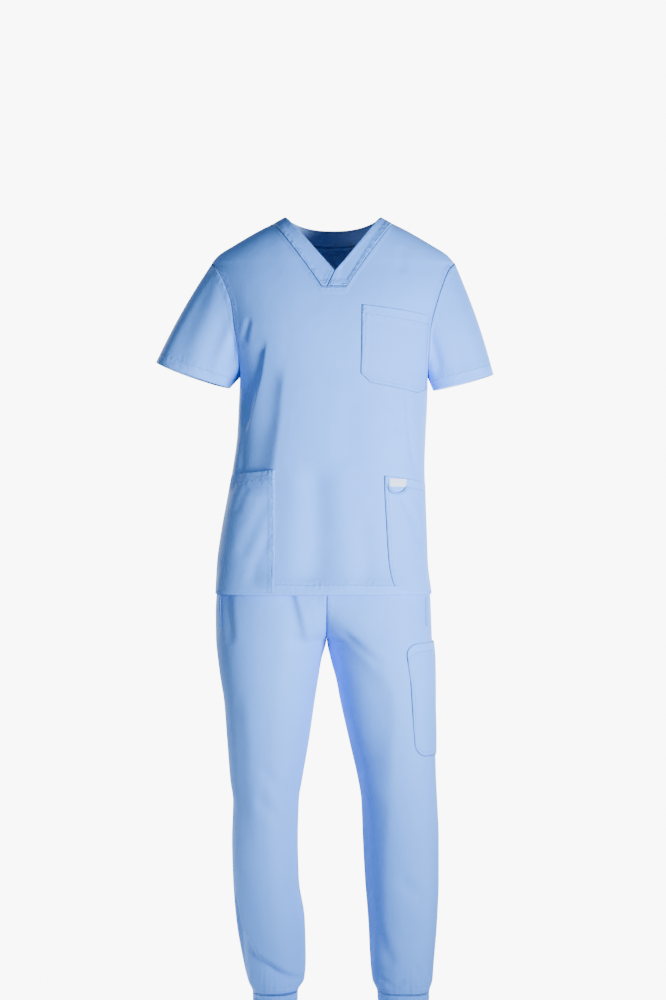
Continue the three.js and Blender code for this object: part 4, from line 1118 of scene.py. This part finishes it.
def cargo_surface(u, v):
    away = np.abs(2 * u - 1)
    corner = CARGO_CORNER * (1 - np.sqrt(1 - np.clip((away - 0.72) / 0.28, 0, 1) ** 2))
    z = mix(CARGO_FOOT_Z + corner, CARGO_TOP_Z - corner, v)
    puff = 2.2 * np.sin(u * math.pi) ** 0.5 * np.sin(v * math.pi) ** 0.5
    mouth = 1.5 * smoothstep(0.85, 1, v)
    lift = CARGO_LIFT + puff + mouth
    front, back = (on_leg("left", face, away * CARGO_REACH, z, lift) for face in (FRONT, BACK))
    return np.where((u <= 0.5)[..., None], front, back)


def make_cargo_pocket():
    grid = Grid(cargo_surface, 96, 80, (110, 0, -900))
    piece = cloth_piece("cargo_pocket_cloth", grid, scrub_cloth, POCKET_WALL,
                        double=grid.nearest(*CARGO_EDGES), hem=grid.far["top"] + 3.5)
    dress(piece, "cargo_pocket")
    for edge in CARGO_EDGES:
        sew_double("trouser", grid, edge, 0.04, 0.96)
    sew("trouser", grid, "top", POCKET_HEM_ROW, 0.04, 0.96)


FACING_FOOT_Z, FACING_TOP_Z = -766, -712
FACING_LIFT = 1.7


def make_side_pockets():
    for side, middle in LEG_MIDDLES.items():
        def surface(u, v, side=side):
            column = mix(2.0, 1.7, v) + 0.30 * u
            z = mix(float(FACING_FOOT_Z), float(FACING_TOP_Z), v)
            return on_leg(side, FRONT, column / LEG_COLUMN_COUNT, z, FACING_LIFT)
        grid = Grid(surface, 8, 30, (middle, 0, -740))
        node = "side_pocket_facing_" + side
        piece = cloth_piece(node + "_cloth", grid, scrub_cloth, POCKET_WALL, double=grid.far["start"])
        dress(piece, node)
        sew("trouser", grid, "start", DOUBLE_ROWS[0], 0.02, 0.98)


# Light, floor and camera

FLOOR_Z = -1610
FLOOR_RADIUS = 640
FLOOR_DEPTH = 0.03


def make_floor():
    """A round pale floor under the set, with a rounded rim."""
    bm = bmesh.new()
    bmesh.ops.create_cone(bm, cap_ends=True, segments=96, radius1=FLOOR_RADIUS * MM,
                          radius2=FLOOR_RADIUS * MM, depth=FLOOR_DEPTH)
    bmesh.ops.translate(bm, vec=(0, 0, FLOOR_Z * MM - FLOOR_DEPTH / 2), verts=bm.verts)
    rim = [edge for edge in bm.edges if abs(edge.verts[0].co.z - edge.verts[1].co.z) < 1e-6]
    bmesh.ops.bevel(bm, geom=rim, offset=0.006, segments=4, affect="EDGES", profile=0.5, material=-1)
    paint, _ = new_material("pale_floor", {"Base Color": (*FLOOR_COLOUR, 1), "Roughness": 0.9})
    link_piece("studio_floor", bm, paint)


# Name, place, aim, size, power, spread and colour of each lamp
LAMPS = (
    ("key", (1.5, -2.0, -0.9), (0.0, 0.0, -0.4), 0.9, 34, 64, (0.84, 0.92, 1.0)),
    ("fill", (-1.8, -2.1, 0.1), (-0.2, 0.0, -0.2), 1.0, 7, 110, (0.84, 0.92, 1.0)),
    ("top", (0.1, -1.0, 1.7), (0.0, 0.0, -0.1), 1.4, 1, 140, (0.84, 0.92, 1.0)),
    ("side", (-2.5, 0.7, -1.4), (0.0, 0.0, -1.35), 0.8, 2.5, 30, (0.88, 0.94, 1.0)),
    ("back_right", (1.7, 2.6, 0.1), (0.0, 0.0, -0.6), 1.4, 40, 100, (0.9, 0.95, 1.0)),
    ("back_left", (-1.7, 2.6, 0.1), (0.0, 0.0, -0.6), 1.4, 34, 100, (0.9, 0.95, 1.0)),
)
BACKDROP_STRENGTH = 9.0
AMBIENT_STRENGTH = 0.14
CAMERA_LENS = 95.7
CAMERA_PLACE = (0, -5, -0.532)


def link_holder(name, data, place):
    holder = bpy.data.objects.new(name, data)
    holder.location = place
    bpy.context.scene.collection.objects.link(holder)
    return holder


def make_light():
    """The lamps, a pale ambient light, and a white backdrop for the camera alone."""
    world = bpy.context.scene.world or bpy.data.worlds.new("studio")
    bpy.context.scene.world = world
    world.use_nodes = True
    tree = world.node_tree
    tree.nodes.clear()
    output = add_node(tree, "ShaderNodeOutputWorld", (600, 0))
    choice = add_node(tree, "ShaderNodeMixShader", (400, 0))
    path = add_node(tree, "ShaderNodeLightPath", (0, 300))
    ambient = add_node(tree, "ShaderNodeBackground", (0, 0), Strength=AMBIENT_STRENGTH,
                       Color=(0.9, 0.95, 1, 1))
    backdrop = add_node(tree, "ShaderNodeBackground", (0, -200), Strength=BACKDROP_STRENGTH,
                        Color=(1, 1, 1, 1))
    tree.links.new(path.outputs["Is Camera Ray"], choice.inputs[0])
    tree.links.new(ambient.outputs[0], choice.inputs[1])
    tree.links.new(backdrop.outputs[0], choice.inputs[2])
    tree.links.new(choice.outputs[0], output.inputs["Surface"])
    for name, place, aim, size, power, spread, colour in LAMPS:
        lamp = bpy.data.lights.new(name, "AREA")
        lamp.size = size
        lamp.energy = power
        lamp.spread = math.radians(spread)
        lamp.color = colour
        holder = link_holder(name, lamp, place)
        direction = Vector(aim) - Vector(place)
        holder.rotation_euler = direction.to_track_quat("-Z", "Y").to_euler()
        holder.visible_camera = False


def make_camera():
    camera = bpy.data.cameras.new("photo_camera")
    camera.sensor_fit = "AUTO"
    camera.sensor_width = 36
    camera.lens = CAMERA_LENS
    holder = link_holder("photo_camera", camera, CAMERA_PLACE)
    holder.rotation_euler = (math.pi / 2, 0, 0)
    bpy.context.scene.camera = holder


make_panels()
make_sleeves()
make_neckband()
make_pockets()
make_label()
make_badge_loop()
make_legs()
make_bands()
make_cargo_pocket()
make_side_pockets()
stitch_mesh("top")
stitch_mesh("trouser")
make_floor()
make_light()
make_camera()
